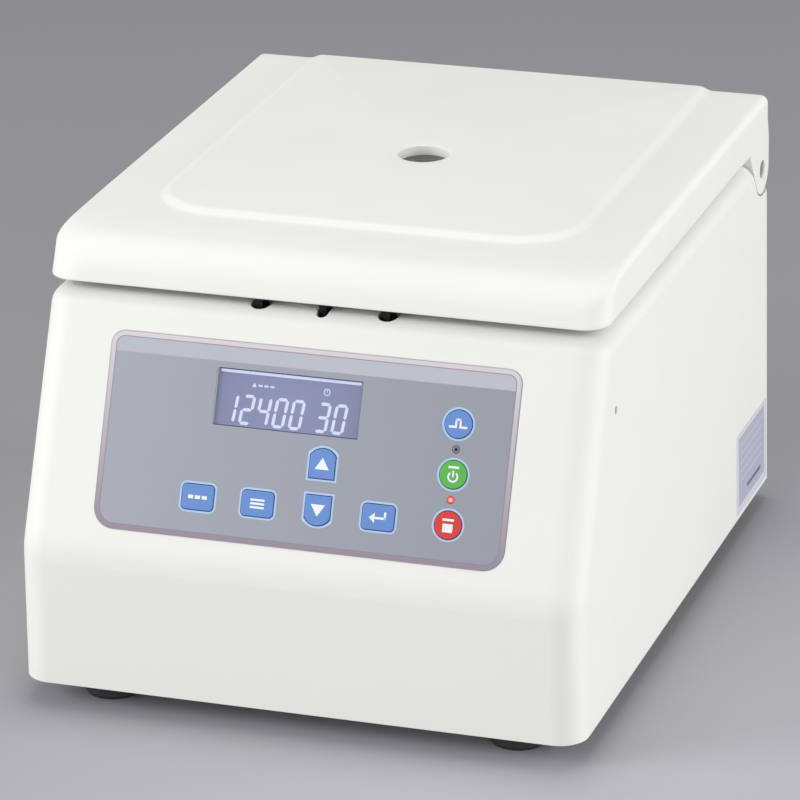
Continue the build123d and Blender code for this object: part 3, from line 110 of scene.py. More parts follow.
# ---- Lid
LID_HALF = 118.39
LID_FRONT = -108.73
REAR = 149.5
LID_EDGE = 171.0
LID_TOP = 189.4
LID_WALL = 3.0
LID_LEAN = math.tan(math.radians(18.5))
LID_BROW_Y = -103.44
LID_BROW = 186.8
LID_SHOULDER_Y = -80.03
LID_SHOULDER = 189.0
LID_CREST_Y = -40.03
LID_FRONT_RADIUS = 18.0
LID_SIDE_RADIUS = 3.6
LID_REAR_RADIUS = 2.5
LID_LIP_RADIUS = 0.8
LID_CORNER_TOP = 16.5
LID_CORNER_LOW = 11.0
PANEL_TOP = 191.2
PANEL_FRONT = -65.03
PANEL_HALF = 90.3
PANEL_CORNER = 28.0
PANEL_STEP = 6.0
PORT_RADIUS = 11.0
PORT_FLOOR = 185.4
PORT_LEDGE = 1.6
PORT_TUBE = 9.3
PORT_SOFTENING = 0.4
# The rear edge's rounding grows from its foot, over this height. The lowest band stands upright.
REAR_FOOT_RADIUS = 0.3
REAR_ROUNDING_RISE = 9.0
REAR_FOOT_BAND = 4.0
# Points along each stretch of one level of the lid.
SIDE_STEPS = 34
CORNER_STEPS = 22
FRONT_STEPS = 42
REAR_STEPS = 31
LID_CEILING = 186.0
CEILING_FILLET = 3.5
LINER_TOP = 173.5
LID_REAR_START = REAR - LID_REAR_RADIUS
EAR_INNER = 102.39
EAR_FRONT = 114.1
# The lip's rounding fades out over this length, which starts before the hinge ears.
LIP_FADE_START = 96.0
LIP_FADE_LENGTH = 12.0
BOSS_RADIUS = 3.6
BOSS_HOLE = 1.5
BOSS_INSET = 10.0
BOSS_PLACES = (LID_FRONT + 22, CHAMBER_Y, 102.5)
# How far a piece stays clear of the skin next to it.
CLEARANCE = 0.02

# ---- Print: how far it reaches into the surface and how high it stands on rings, keys and glass
INK_SINK = 0.02
RING_INK_RISE = 0.03
MARK_INK_RISE = 0.04
LIT_INK_RISE = 0.05


# ---- Small helpers
def linear(red, green, blue):
    """A colour given as 0 to 255 screen values, as the linear colour a shader takes."""
    parts = [value / 255 for value in (red, green, blue)]
    return tuple(p / 12.92 if p <= 0.04045 else ((p + 0.055) / 1.055) ** 2.4 for p in parts)


def smooth(t):
    t = min(max(t, 0.0), 1.0)
    return t * t * (3 - 2 * t)


def mix(a, b, t):
    return a + (b - a) * t


def steps(count, low=0.0, high=1.0):
    """Evenly spaced values from low to high, both ends in."""
    return [mix(low, high, i / (count - 1)) for i in range(count)]


def on_face(x, up, out):
    """A point on the control face in the part's frame."""
    y = FACE_FRONT + up * FACE_UP[0] - out * FACE_UP[1]
    return (x, y, FACE_LOW + up * FACE_UP[1] + out * FACE_UP[0])


# ---- Materials
class Term:
    """A number in a node tree. Arithmetic on it adds Math nodes."""

    def __init__(self, tree, socket):
        self.tree = tree
        self.socket = socket

    def math(self, operation, *others):
        node = self.tree.nodes.new("ShaderNodeMath")
        node.operation = operation
        for socket, value in zip(node.inputs, (self, *others)):
            if isinstance(value, Term):
                self.tree.links.new(value.socket, socket)
            else:
                socket.default_value = value
        return Term(self.tree, node.outputs[0])

    def __add__(self, other):
        return self.math("ADD", other)

    def __sub__(self, other):
        return self.math("SUBTRACT", other)

    def __mul__(self, other):
        return self.math("MULTIPLY", other)

    def above(self, edge, blur):
        """0 below edge and 1 above it, blurred over that width."""
        node = self.tree.nodes.new("ShaderNodeMapRange")
        node.interpolation_type = "SMOOTHSTEP"
        self.tree.links.new(self.socket, node.inputs["Value"])
        node.inputs["From Min"].default_value = edge - blur / 2
        node.inputs["From Max"].default_value = edge + blur / 2
        return Term(self.tree, node.outputs["Result"])

    def between(self, low, high, blur):
        return self.above(low, blur) - self.above(high, blur)


class Finish:
    """A procedural material: a Principled shader with nodes for colour, roughness and relief."""

    def __init__(self, name, colour, rough, metal=0.0):
        self.material = bpy.data.materials.new(name)
        self.material.use_nodes = True
        self.tree = self.material.node_tree
        self.shader = self.tree.nodes["Principled BSDF"]
        self.shader.inputs["Metallic"].default_value = metal
        coordinates = self.tree.nodes.new("ShaderNodeTexCoord")
        self.place = coordinates.outputs["Object"]
        self.colour = self.constant(colour)
        self.rough = rough
        self.relief = None

    def constant(self, colour):
        node = self.tree.nodes.new("ShaderNodeRGB")
        node.outputs[0].default_value = (*colour, 1.0)
        return node.outputs[0]

    def axes(self):
        """The place on the part in millimetres, as three terms."""
        node = self.tree.nodes.new("ShaderNodeSeparateXYZ")
        self.tree.links.new(self.place, node.inputs[0])
        return [Term(self.tree, socket) * (1 / MM) for socket in node.outputs]

    def vector(self, terms):
        node = self.tree.nodes.new("ShaderNodeCombineXYZ")
        for term, socket in zip(terms, node.inputs):
            self.tree.links.new(term.socket, socket)
        return node.outputs[0]

    def noise(self, size, detail=2.0, stretch=(1, 1, 1), place=None):
        """Smooth noise with features of about size millimetres, longer along the stretched axes."""
        mapping = self.tree.nodes.new("ShaderNodeMapping")
        unit = 1 / size if place else 1 / (size * MM)
        mapping.inputs["Scale"].default_value = [unit / s for s in stretch]
        self.tree.links.new(place or self.place, mapping.inputs["Vector"])
        node = self.tree.nodes.new("ShaderNodeTexNoise")
        node.inputs["Scale"].default_value = 1.0
        node.inputs["Detail"].default_value = detail
        self.tree.links.new(mapping.outputs[0], node.inputs["Vector"])
        return Term(self.tree, node.outputs["Fac"])

    def blend(self, term, colour):
        """Lay a colour over the finish wherever the term is above 0."""
        node = self.tree.nodes.new("ShaderNodeMix")
        node.data_type = "RGBA"
        self.tree.links.new(term.socket, node.inputs["Factor"])
        self.tree.links.new(self.colour, node.inputs[6])
        node.inputs[7].default_value = (*colour, 1.0)
        self.colour = node.outputs[2]
        return self

    def shade(self, term, low, high):
        """Multiply the colour by low where the term is 0 and by high where it is 1."""
        node = self.tree.nodes.new("ShaderNodeVectorMath")
        node.operation = "SCALE"
        self.tree.links.new(self.colour, node.inputs[0])
        self.tree.links.new((term * (high - low) + low).socket, node.inputs["Scale"])
        self.colour = node.outputs[0]
        return self

    def polish(self, term, change):
        """Add change to the roughness where the term is 1, and take it away where it is 0."""
        extra = (term - 0.5) * (2 * change)
        self.rough = self.rough + extra if isinstance(self.rough, Term) else extra + self.rough
        return self

    def emboss(self, term, depth):
        """Raise the surface by depth millimetres where the term is 1."""
        node = self.tree.nodes.new("ShaderNodeBump")
        node.inputs["Strength"].default_value = 1.0
        node.inputs["Distance"].default_value = depth * MM
        self.tree.links.new(term.socket, node.inputs["Height"])
        if self.relief:
            self.tree.links.new(self.relief, node.inputs["Normal"])
        self.relief = node.outputs[0]
        return self

    def glow(self, colour, strength):
        self.shader.inputs["Emission Color"].default_value = (*colour, 1.0)
        self.shader.inputs["Emission Strength"].default_value = strength
        return self

    def done(self, **sockets):
        """Connect what was built, set the shader's own sockets and give the material."""
        for name, value in sockets.items():
            self.shader.inputs[name.replace("_", " ")].default_value = value
        self.tree.links.new(self.colour, self.shader.inputs["Base Color"])
        if isinstance(self.rough, Term):
            self.tree.links.new(self.rough.socket, self.shader.inputs["Roughness"])
        else:
            self.shader.inputs["Roughness"].default_value = self.rough
        if self.relief:
            self.tree.links.new(self.relief, self.shader.inputs["Normal"])
        return self.material


def moulded(name, colour, rough=0.42, grain=0.012, mottle=0.015):
    """Injection-moulded plastic: a fine spark texture, faint flow mottling and uneven sheen."""
    finish = Finish(name, colour, rough)
    fine = finish.noise(0.55, 1.5)
    flow = finish.noise(38.0, 2.0)
    finish.shade(flow, 1 - mottle, 1 + mottle).shade(fine, 1 - mottle / 2, 1 + mottle / 2)
    finish.polish(flow, 0.04).polish(fine, 0.04)
    return finish.emboss(fine, grain)


def metal(name, colour, rough, stretch=(1, 1, 1), size=0.25, depth=0.004, contrast=0.1):
    """Bare or plated metal with fine lines along the stretched axis."""
    finish = Finish(name, colour, rough, 1.0)
    lines = finish.noise(size, 2.0, stretch)
    cloud = finish.noise(22.0, 2.0)
    finish.shade(lines, 1 - contrast, 1 + contrast / 2).shade(cloud, 0.95, 1.03)
    finish.polish(lines, 0.07).polish(cloud, 0.05)
    return finish.emboss(lines, depth)


def turned_metal(name, colour, rough, pitch, depth, contrast=0.08):
    """Metal with fine rings about the rotor's axis, as a lathe or a spinning tool leaves them."""
    finish = Finish(name, colour, rough, 1.0)
    x, y, z = finish.axes()
    behind = y - CHAMBER_Y
    radius = (x * x + behind * behind).math("SQRT")
    angle = behind.math("ARCTAN2", x)
    rings = finish.noise(pitch, 3.0, (1, 40, 1), finish.vector((radius, angle, z)))
    cloud = finish.noise(30.0, 2.0)
    finish.shade(rings, 1 - contrast, 1 + contrast / 2).shade(cloud, 0.96, 1.03)
    finish.polish(rings, 0.08).polish(cloud, 0.04)
    return finish.emboss(rings, depth)


def face_axes(finish):
    """The two directions along the control face, as terms in millimetres."""
    x, y, z = finish.axes()
    return x, (y - FACE_FRONT) * FACE_UP[0] + (z - FACE_LOW) * FACE_UP[1]


def rounded_distance(x, up):
    """How far outside the film's rounded outline a place is. It is below 0 inside."""
    middle = (FILM_LOW + FILM_HIGH) / 2
    high = (up - middle).math("GREATER_THAN", 0.0)
    radius = high * (FILM_TOP_RADIUS - FILM_LOW_RADIUS) + FILM_LOW_RADIUS
    along = x.math("ABSOLUTE") - FILM_WIDTH / 2 + radius
    across = (up - middle).math("ABSOLUTE") - (FILM_HIGH - FILM_LOW) / 2 + radius
    beyond = along.math("MAXIMUM", 0.0), across.math("MAXIMUM", 0.0)
    corner = (beyond[0] * beyond[0] + beyond[1] * beyond[1]).math("SQRT")
    return corner + along.math("MAXIMUM", across).math("MINIMUM", 0.0) - radius


def film():
    """The printed control film: a grey field with a pale border, thin rules and a light band. The
    border's lower part carries painted shade.
    """
    finish = Finish("panel_film", linear(157, 161, 172), 0.36)
    x, up = face_axes(finish)
    distance = rounded_distance(x, up)
    right = (x + FILM_WIDTH / 2) * (1 / FILM_WIDTH)
    high = (up - FILM_LOW) * (1 / (FILM_HIGH - FILM_LOW))
    border = distance.above(-FILM_BORDER, 0.6)
    finish.shade(right, 1.06, 0.9)
    finish.blend(up.above(FILM_BAND_LOW, 0.5), linear(178, 183, 193))
    finish.blend(up.above(FILM_BAND_LOW, 0.5) * right * 0.5, linear(196, 196, 202))
    finish.blend(border, linear(212, 208, 213))
    # Painted shade: the border darkens towards the film's foot, standing in for the shaded side of
    # a bevelled rim.
    finish.blend(border * (high * -1.0 + 1.0), linear(146, 138, 149))
    rule = distance.between(-FILM_BORDER - 0.2, -FILM_BORDER + 0.2, 0.25)
    finish.blend(rule * 0.8, linear(146, 118, 138))
    finish.blend(distance.above(-0.5, 0.4) * 0.5, linear(150, 144, 154))
    weave = finish.noise(0.35, 1.0)
    haze = finish.noise(45.0, 2.0)
    finish.shade(weave, 0.985, 1.015).shade(haze, 0.985, 1.02)
    finish.polish(haze, 0.04).polish(weave, 0.03).emboss(weave, 0.003)
    return finish.done()


def display():
    """The display's lit glass, darker towards its ends."""
    finish = Finish("display_glass", linear(112, 118, 158), 0.3)
    x, up = face_axes(finish)
    ends = (x - DISPLAY_X).math("ABSOLUTE") * (2 / DISPLAY_WIDTH)
    finish.shade(ends * ends, 1.06, 0.84)
    finish.shade((up - DISPLAY_UP) * (1 / DISPLAY_HEIGHT) + 0.5, 1.0, 1.04)
    cells = x.math("PINGPONG", 0.125) * 8.0
    rows = up.math("PINGPONG", 0.125) * 8.0
    finish.shade(cells.math("MINIMUM", rows), 0.985, 1.01).shade(finish.noise(6.0), 0.97, 1.03)
    return finish.glow(linear(120, 124, 170), 0.06).done()


def lamp(name, centre, rim, up, strength):
    """An indicator lens, brighter at its middle."""
    finish = Finish(name, rim, 0.25)
    x, height = face_axes(finish)
    x = x - ROUND_KEY_X
    height = height - up
    far = (x * x + height * height).math("SQRT")
    near = far.above(0.75, 0.9) * -1.0 + 1.0
    finish.blend(near, centre).shade(finish.noise(0.4), 0.95, 1.05)
    return finish.glow(rim, strength).done()


def board():
    """Green solder mask over a maze of copper tracks, with tinned pads."""
    finish = Finish("circuit_board", (0.015, 0.115, 0.04), 0.38)
    x, y, z = finish.axes()
    lanes = (x.math("PINGPONG", 1.3) * (1 / 1.3)).above(0.55, 0.1)
    turns = (z.math("PINGPONG", 1.7) * (1 / 1.7)).above(0.6, 0.1)
    pick = finish.noise(9.0, 0.0).above(0.52, 0.01)
    tracks = lanes * pick + turns * (pick * -1.0 + 1.0)
    pads = (finish.noise(2.6, 0.0)).above(0.73, 0.02)
    finish.blend(tracks, (0.03, 0.21, 0.06)).blend(pads, (0.6, 0.6, 0.57))
    return finish.emboss(tracks, 0.03).done(Coat_Weight=0.4, Coat_Roughness=0.2)


def laminated(name):
    """Pressed iron sheets, one above another, with a dark oiled surface."""
    finish = Finish(name, (0.17, 0.165, 0.16), 0.5, 0.6)
    sheets = finish.axes()[2].math("PINGPONG", 0.35) * (1 / 0.35)
    finish.shade(sheets, 0.65, 1.1).polish(finish.noise(5.0), 0.08)
    return finish.emboss(sheets, 0.04).done()


def rating_film():
    """A blank rating label: a pale rim, empty ruled rows and a dark rule near its foot."""
    low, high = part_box("rating_label")
    finish = Finish("label_film", linear(214, 216, 226), 0.4)
    _, y, z = finish.axes()
    across = (y - low.y / MM) * (MM / (high.y - low.y))
    up = (z - low.z / MM) * (MM / (high.z - low.z))
    field = across.between(0.07, 0.93, 0.01) * up.between(0.09, 0.95, 0.01)
    rows = (up * 9.0 + 0.5).math("PINGPONG", 0.5).above(0.06, 0.04) * -1.0 + 1.0
    ruled = up.between(0.33, 0.86, 0.01) * across.between(0.12, 0.88, 0.01)
    foot_rule = across.between(0.35, 0.8, 0.02) * up.between(0.2, 0.245, 0.01)
    finish.blend(field, linear(178, 182, 201)).blend(ruled * rows * 0.6, linear(220, 222, 232))
    finish.blend(foot_rule, linear(98, 98, 122))
    finish.shade(finish.noise(0.5), 0.98, 1.02)
    return finish.polish(finish.noise(8.0), 0.05).emboss(finish.noise(0.5), 0.003).done()


def clear(name, colour, alpha, rough):
    """Clear plastic sheet with faint wipe marks."""
    finish = Finish(name, colour, rough)
    finish.polish(finish.noise(7.0, 2.0, (3, 1, 1)), 0.04).shade(finish.noise(20.0), 0.97, 1.02)
    finish.material.surface_render_method = "BLENDED"
    return finish.done(Alpha=alpha)


def rubber():
    finish = Finish("black_rubber", (0.022, 0.022, 0.023), 0.72)
    grain = finish.noise(0.4, 2.0)
    dust = finish.noise(9.0, 3.0)
    finish.shade(dust, 0.8, 1.6).polish(dust, 0.1)
    return finish.emboss(grain, 0.03).done()


def sleeve():
    """Shrink sleeve with a pale stripe down each capacitor."""
    finish = Finish("capacitor_sleeve", (0.02, 0.03, 0.09), 0.3)
    x = finish.axes()[0]
    finish.blend((x + 90.0).math("ABSOLUTE").above(1.6, 0.2) * -1.0 + 1.0, (0.45, 0.47, 0.5))
    return finish.polish(finish.noise(3.0), 0.06).emboss(finish.noise(1.2), 0.02).done()


def powder(name, colour):
    """Powder coat with its orange-peel surface."""
    finish = Finish(name, colour, 0.45)
    peel = finish.noise(1.1, 1.0)
    finish.shade(finish.noise(30.0), 0.98, 1.02).shade(peel, 0.985, 1.015)
    return finish.polish(peel, 0.05).emboss(peel, 0.03).done()


CASING = moulded("casing_plastic", (0.83, 0.83, 0.79), 0.55).done(Specular_IOR_Level=0.2)
WHITE_INK = moulded("white_ink", linear(238, 241, 247), 0.4, 0.002).done()
RING_INK = moulded("ring_ink", linear(176, 204, 238), 0.4, 0.002).done()
LIT_FINISH = moulded("lit_segments", linear(206, 216, 240), 0.35, 0.002)
LIT_INK = LIT_FINISH.glow((0.75, 0.8, 1.0), 0.16).done()
FINISHES = {
    "casing_plastic": CASING,
    "liner_plastic": moulded("liner_plastic", (0.62, 0.625, 0.63), 0.5, 0.004).done(),
    "sheet_steel": metal("sheet_steel", (0.58, 0.59, 0.60), 0.36, (14, 1, 14)).done(),
    "painted_sheet": powder("painted_sheet", (0.72, 0.72, 0.69)),
    "fastener_steel": metal("fastener_steel", (0.62, 0.62, 0.63), 0.3, (1, 1, 6), 0.2).done(),
    "black_rubber": rubber(),
    "panel_film": film(),
    "clear_window": clear("clear_window", (0.7, 0.7, 0.85), 0.10, 0.12),
    "port_lens": clear("port_lens", linear(104, 105, 104), 0.62, 0.14),
    "display_glass": display(),
    "key_blue": moulded("key_blue", linear(102, 141, 206), 0.4, 0.006, 0.03).done(),
    "key_green": moulded("key_green", linear(90, 181, 76), 0.4, 0.006, 0.03).done(),
    "key_red": moulded("key_red", linear(211, 60, 59), 0.4, 0.006, 0.03).done(),
    "lamp_red": lamp("lamp_red", linear(255, 205, 200), linear(235, 60, 55), RUN_LIGHT_UP, 0.35),
    "lamp_dark": lamp("lamp_dark", (0.03, 0.03, 0.035), linear(132, 136, 147), READY_LIGHT_UP, 0.0),
    "circuit_board": board(),
    "spacer_nylon": moulded("spacer_nylon", (0.74, 0.73, 0.67), 0.5).done(),
    "black_plastic": moulded("black_plastic", (0.025, 0.025, 0.027), 0.42, 0.02, 0.06).done(),
    "fan_guard_steel": metal(
        "fan_guard_steel", (0.66, 0.66, 0.68), 0.16, (6, 1, 6), 0.3, 0.002
    ).done(),
    "capacitor_sleeve": sleeve(),
    "contact_brass": metal("contact_brass", (0.72, 0.58, 0.32), 0.25, (1, 10, 1), 0.2).done(),
    "label_film": rating_film(),
    "bowl_steel": turned_metal("bowl_steel", (0.63, 0.63, 0.63), 0.32, 0.5, 0.006).done(),
    "guard_steel": metal("guard_steel", (0.12, 0.12, 0.125), 0.5, (1, 1, 8), 0.4).done(),
    "motor_aluminium": metal(
        "motor_aluminium", (0.66, 0.67, 0.68), 0.5, (1, 1, 1), 0.8, 0.02
    ).done(),
    "core_iron": laminated("core_iron"),
    "rotor_aluminium": turned_metal("rotor_aluminium", (0.56, 0.57, 0.59), 0.3, 0.35, 0.004).done(),
    "knob_plastic": moulded("knob_plastic", (0.035, 0.035, 0.04), 0.4, 0.02, 0.06).done(),
}
for part in frame["record"]["subparts"]:
    shown = nodes[part["node"]]
    shown.data.materials.clear()
    shown.data.materials.append(FINISHES[part["material_slot"]])
# The lid's blades get a near-black finish as painted shade for the dark slots under the lid's edge,
# unlike the other steel parts.
STRIKER_SHADE_STEEL = metal("striker_shade_steel", (0.035, 0.034, 0.036), 0.42, (1, 1, 8), 0.3).done()
nodes["lid_strikers"].data.materials[0] = STRIKER_SHADE_STEEL


# ---- Mesh kit: points closer than WELD become one, and edges shorter than SLIVER are dropped
WELD = 0.002
SLIVER = 0.0001


class Sculpt:
    """Collects faces in millimetres and makes one welded piece of them."""

    def __init__(self):
        self.points = []
        self.faces = []

    def add(self, points):
        first = len(self.points)
        self.points += [tuple(point) for point in points]
        return list(range(first, len(self.points)))

    def face(self, points):
        self.faces.append(self.add(points))

    def rows(self, rows, closed=False):
        """Quads between rows of equally many points, each row a line or a closed loop."""
        placed = [self.add(row) for row in rows]
        count = len(placed[0])
        for one, two in zip(placed, placed[1:]):
            for i in range(count if closed else count - 1):
                j = (i + 1) % count
                self.faces.append((one[i], one[j], two[j], two[i]))

    def plate(self, outline, low, high, place=on_face, hole=None):
        """A closed flat plate from its outline, with an optional hole of as many points."""
        tops = [place(u, v, high) for u, v in outline]
        feet = [place(u, v, low) for u, v in outline]
        if hole:
            inner_tops = [place(u, v, high) for u, v in hole]
            inner_feet = [place(u, v, low) for u, v in hole]
            self.rows([feet, tops, inner_tops, inner_feet, feet], True)
            return
        self.rows([feet, tops], True)
        self.face(tops)
        self.face(feet)

    def box(self, x, y, z):
        """A closed block between two limits on each axis."""
        outline = [(x[0], y[0]), (x[1], y[0]), (x[1], y[1]), (x[0], y[1])]
        self.plate(outline, z[0], z[1], lambda u, v, n: (u, v, n))

    def turned(self, profile, centre, count=48):
        """A closed turned ring about an upright axis, from (radius, height) corners."""
        angles = [math.tau * i / count for i in range(count)]
        loops = []
        for radius, height in [*profile, profile[0]]:
            around = [(radius * math.cos(a), radius * math.sin(a)) for a in angles]
            loops.append([(x + centre[0], y + centre[1], height) for x, y in around])
        self.rows(loops, True)

    def piece(self, name, finish, body, slot=None, crease=35.0):
        """The welded, smooth-shaded piece, riding on its body."""
        mesh = bpy.data.meshes.new(name)
        mesh.from_pydata([[value * MM for value in point] for point in self.points], [], self.faces)
        weld(mesh, crease)
        made = bpy.data.objects.new(name, mesh)
        bpy.context.scene.collection.objects.link(made)
        mesh.materials.append(finish)
        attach(made, body)
        return made


def weld(mesh, crease):
    """Join coincident points, turn the faces outwards and shade all but sharp edges smoothly."""
    work = bmesh.new()
    work.from_mesh(mesh)
    bmesh.ops.remove_doubles(work, verts=work.verts, dist=WELD * MM)
    bmesh.ops.dissolve_degenerate(work, dist=SLIVER * MM, edges=work.edges)
    bmesh.ops.recalc_face_normals(work, faces=work.faces)
    work.to_mesh(mesh)
    work.free()
    mesh.shade_smooth()
    mesh.set_sharp_from_angle(angle=math.radians(crease))


# ---- Lid shell
def lid_height(y):
    """The height of the lid's top, outside the raised panel."""
    if y >= LID_CREST_Y:
        return LID_TOP
    if y >= LID_SHOULDER_Y:
        t = (LID_CREST_Y - y) / (LID_CREST_Y - LID_SHOULDER_Y)
        return mix(LID_TOP, LID_SHOULDER, steepening(t, 0.5))
    t = (LID_SHOULDER_Y - y) / (LID_SHOULDER_Y - LID_BROW_Y)
    return mix(LID_SHOULDER, LID_BROW, steepening(t, 0.12))


def steepening(t, bow):
    """A fall from 0 to 1 that starts gently: a bow of 0 is straight."""
    return t - bow * t * (1 - t)


def u_line(half, front, corner, side_height, front_height, inset_rear=0.0):
    """One level of the lid: up the left side, round the front and back down the right side.

    side_height gives the height at a place along the side, front_height that across the front.
    """
    rear = LID_REAR_START - inset_rear
    start = front + corner
    left = []
    for t in steps(SIDE_STEPS):
        y = mix(rear, start, t)
        left.append((-half, y, side_height(y)))
    for t in steps(CORNER_STEPS)[1:]:
        angle = t * math.pi / 2
        y = start - corner * math.sin(angle)
        x = -half + corner - corner * math.cos(angle)
        left.append((x, y, mix(side_height(y), front_height, smooth(t) ** 1.5)))
    spread = steps(FRONT_STEPS, left[-1][0], -left[-1][0])
    across = [(x, front, front_height) for x in spread[1:-1]]
    return left + across + [(-x, y, z) for x, y, z in reversed(left)]


def step_levels():
    """The soft step round the raised panel, from its top to the lid's own surface."""
    levels = []
    for t in steps(9):
        out = (t - 0.5) * PANEL_STEP
        rise = 1 - smooth(t)

        def height(y):
            return mix(lid_height(y), PANEL_TOP, rise)

        front = PANEL_FRONT - out
        line = u_line(PANEL_HALF + out, front, PANEL_CORNER + out, height, height(front))
        levels.append(line)
    return levels


def brow_arc():
    """Where the front rounding starts on the top, its centre and how far it turns."""
    fall = math.atan2(LID_SHOULDER - LID_BROW, LID_SHOULDER_Y - LID_BROW_Y)
    lean = math.pi / 2 - math.atan(LID_LEAN)
    run = LID_FRONT_RADIUS * math.tan((lean - fall) / 2)
    start = (LID_BROW_Y + run * math.cos(fall), LID_BROW + run * math.sin(fall))
    behind, below = LID_FRONT_RADIUS * math.sin(fall), LID_FRONT_RADIUS * math.cos(fall)
    return start, (start[0] + behind, start[1] - below), fall, lean


def outer_levels():
    """The lid's outside, level by level, from the panel's edge down to its lower edge."""
    start, centre, fall, lean = brow_arc()
    levels = step_levels()
    flat_half = PANEL_HALF + PANEL_STEP / 2
    flat_front = PANEL_FRONT - PANEL_STEP / 2
    bend_half = LID_HALF - LID_SIDE_RADIUS
    for t in steps(9)[1:]:
        half = mix(flat_half, bend_half, t)
        front = mix(flat_front, start[0], t)
        corner = mix(PANEL_CORNER + PANEL_STEP / 2, LID_CORNER_TOP, t)
        levels.append(u_line(half, front, corner, lid_height, lid_height(front)))
    for t in steps(14)[1:]:
        turn = t * math.pi / 2
        tip = mix(fall, lean, t)
        half = bend_half + LID_SIDE_RADIUS * math.sin(turn)
        fallen = LID_SIDE_RADIUS * (1 - math.cos(turn))
        front = centre[0] - LID_FRONT_RADIUS * math.sin(tip)
        high = centre[1] + LID_FRONT_RADIUS * math.cos(tip)
        levels.append(u_line(half, front, LID_CORNER_TOP, lambda y: lid_height(y) - fallen, high))
    side_low = LID_TOP - LID_SIDE_RADIUS
    front_low = levels[-1][len(levels[-1]) // 2][2]
    lip = LID_EDGE + LID_LIP_RADIUS
    for t in steps(7)[1:]:
        high = mix(front_low, lip, t)
        front = LID_FRONT + (high - LID_EDGE) * LID_LEAN

        def height(y):
            return mix(side_low - (LID_TOP - lid_height(y)), lip, t)

        corner = mix(LID_CORNER_TOP, LID_CORNER_LOW, t)
        levels.append(u_line(LID_HALF, front, corner, height, high))
    for t in steps(6)[1:]:
        turn = t * math.pi / 2
        high = LID_EDGE + LID_LIP_RADIUS * (1 - math.sin(turn))
        inset = LID_LIP_RADIUS * (1 - math.cos(turn))
        front = LID_FRONT + (high - LID_EDGE) * LID_LEAN + inset
        level = u_line(LID_HALF - inset, front, LID_CORNER_LOW - inset, lambda y: high, high)
        levels.append([ease_to_side(point, inset) for point in level])
    return levels


def ease_to_side(point, inset):
    """Fade the lip's rounding out before the hinge ears, whose sides run on down."""
    x, y, z = point
    fade = smooth((y - LIP_FADE_START) / LIP_FADE_LENGTH)
    return (x + math.copysign(inset * fade, x), y, z) if fade > 0 else point


def rear_sweep(point, across, up):
    """The points that take one end of a level round the rear edge. across and up are its normal."""
    x, y, z = point
    radius = mix(REAR_FOOT_RADIUS, LID_REAR_RADIUS, smooth((z - LID_EDGE) / REAR_ROUNDING_RISE))
    swept = [(x, y, z)]
    for t in steps(8):
        turn = t * math.pi / 2
        back = REAR - radius + radius * math.sin(turn)
        drop = radius * (1 - math.cos(turn))
        swept.append((x - across * drop, back, z - up * drop))
    return swept


def level_normal(levels, index, end):
    """The outward direction of the lid's outline at one level's rear end, across and up."""
    before = levels[max(index - 1, 0)][end]
    after = levels[min(index + 1, len(levels) - 1)][end]
    along = Vector((after[0] - before[0], after[2] - before[2])).normalized()
    side = -1 if end == 0 else 1
    return side * abs(along.y), abs(along.x)


def lid_shell():
    """The moulded lid: crowned brow, soft step round the panel, rounded corners and port recess."""
    work = Sculpt()
    levels = outer_levels()
    work.rows(levels)
    swept = {}
    for end in (0, -1):
        swept[end] = []
        for index, level in enumerate(levels):
            across, up = level_normal(levels, index, end)
            if level[end][2] < LID_EDGE + REAR_FOOT_BAND or index == len(levels) - 1:
                across, up = math.copysign(1.0, level[end][0]), 0.0
            if index == 0:
                across, up = 0.0, 1.0
            swept[end].append(rear_sweep(level[end], across, up))
        work.rows(swept[end])
    spread = steps(REAR_STEPS, levels[0][0][0], levels[0][-1][0])
    ridge = [(x, LID_REAR_START, PANEL_TOP) for x in spread]
    rear_top = [rear_sweep(point, 0.0, 1.0) for point in ridge]
    work.rows(rear_top)
    left = [row[-1] for row in reversed(swept[0])]
    right = [row[-1] for row in swept[-1]]
    top = [row[-1] for row in rear_top]
    foot = [(x, REAR, LID_EDGE) for x in steps(REAR_STEPS, right[-1][0], left[0][0])]
    work.face(left + top[1:-1] + right + foot[1:-1])
    fill_panel(work, levels[0] + ridge[-2:0:-1])
    inner_skin(work, levels[-1], swept, foot)
    lower_lid(work)
    return work


def ring_about_port(loop, radius, height):
    """A circle round the port with one point in the direction of each point of a loop."""
    ring = []
    for x, y, _ in loop:
        angle = math.atan2(y - CHAMBER_Y, x)
        ring.append((radius * math.cos(angle), CHAMBER_Y + radius * math.sin(angle), height))
    return ring


def fill_panel(work, loop):
    """The flat panel between its edge and the port, and the port's rounded edge, wall and ledge."""
    soft = PORT_SOFTENING
    rings = [loop, ring_about_port(loop, PORT_RADIUS + 12 * soft, PANEL_TOP)]
    for t in steps(5):
        turn = t * math.pi / 2
        radius = PORT_RADIUS + soft * (1 - math.sin(turn))
        rings.append(ring_about_port(loop, radius, PANEL_TOP - soft * (1 - math.cos(turn))))
    rings.append(ring_about_port(loop, PORT_RADIUS, PORT_FLOOR))
    rings.append(ring_about_port(loop, PORT_TUBE, PORT_FLOOR))
    rings.append(ring_about_port(loop, PORT_TUBE, PORT_FLOOR - PORT_LEDGE))
    work.rows(rings, True)


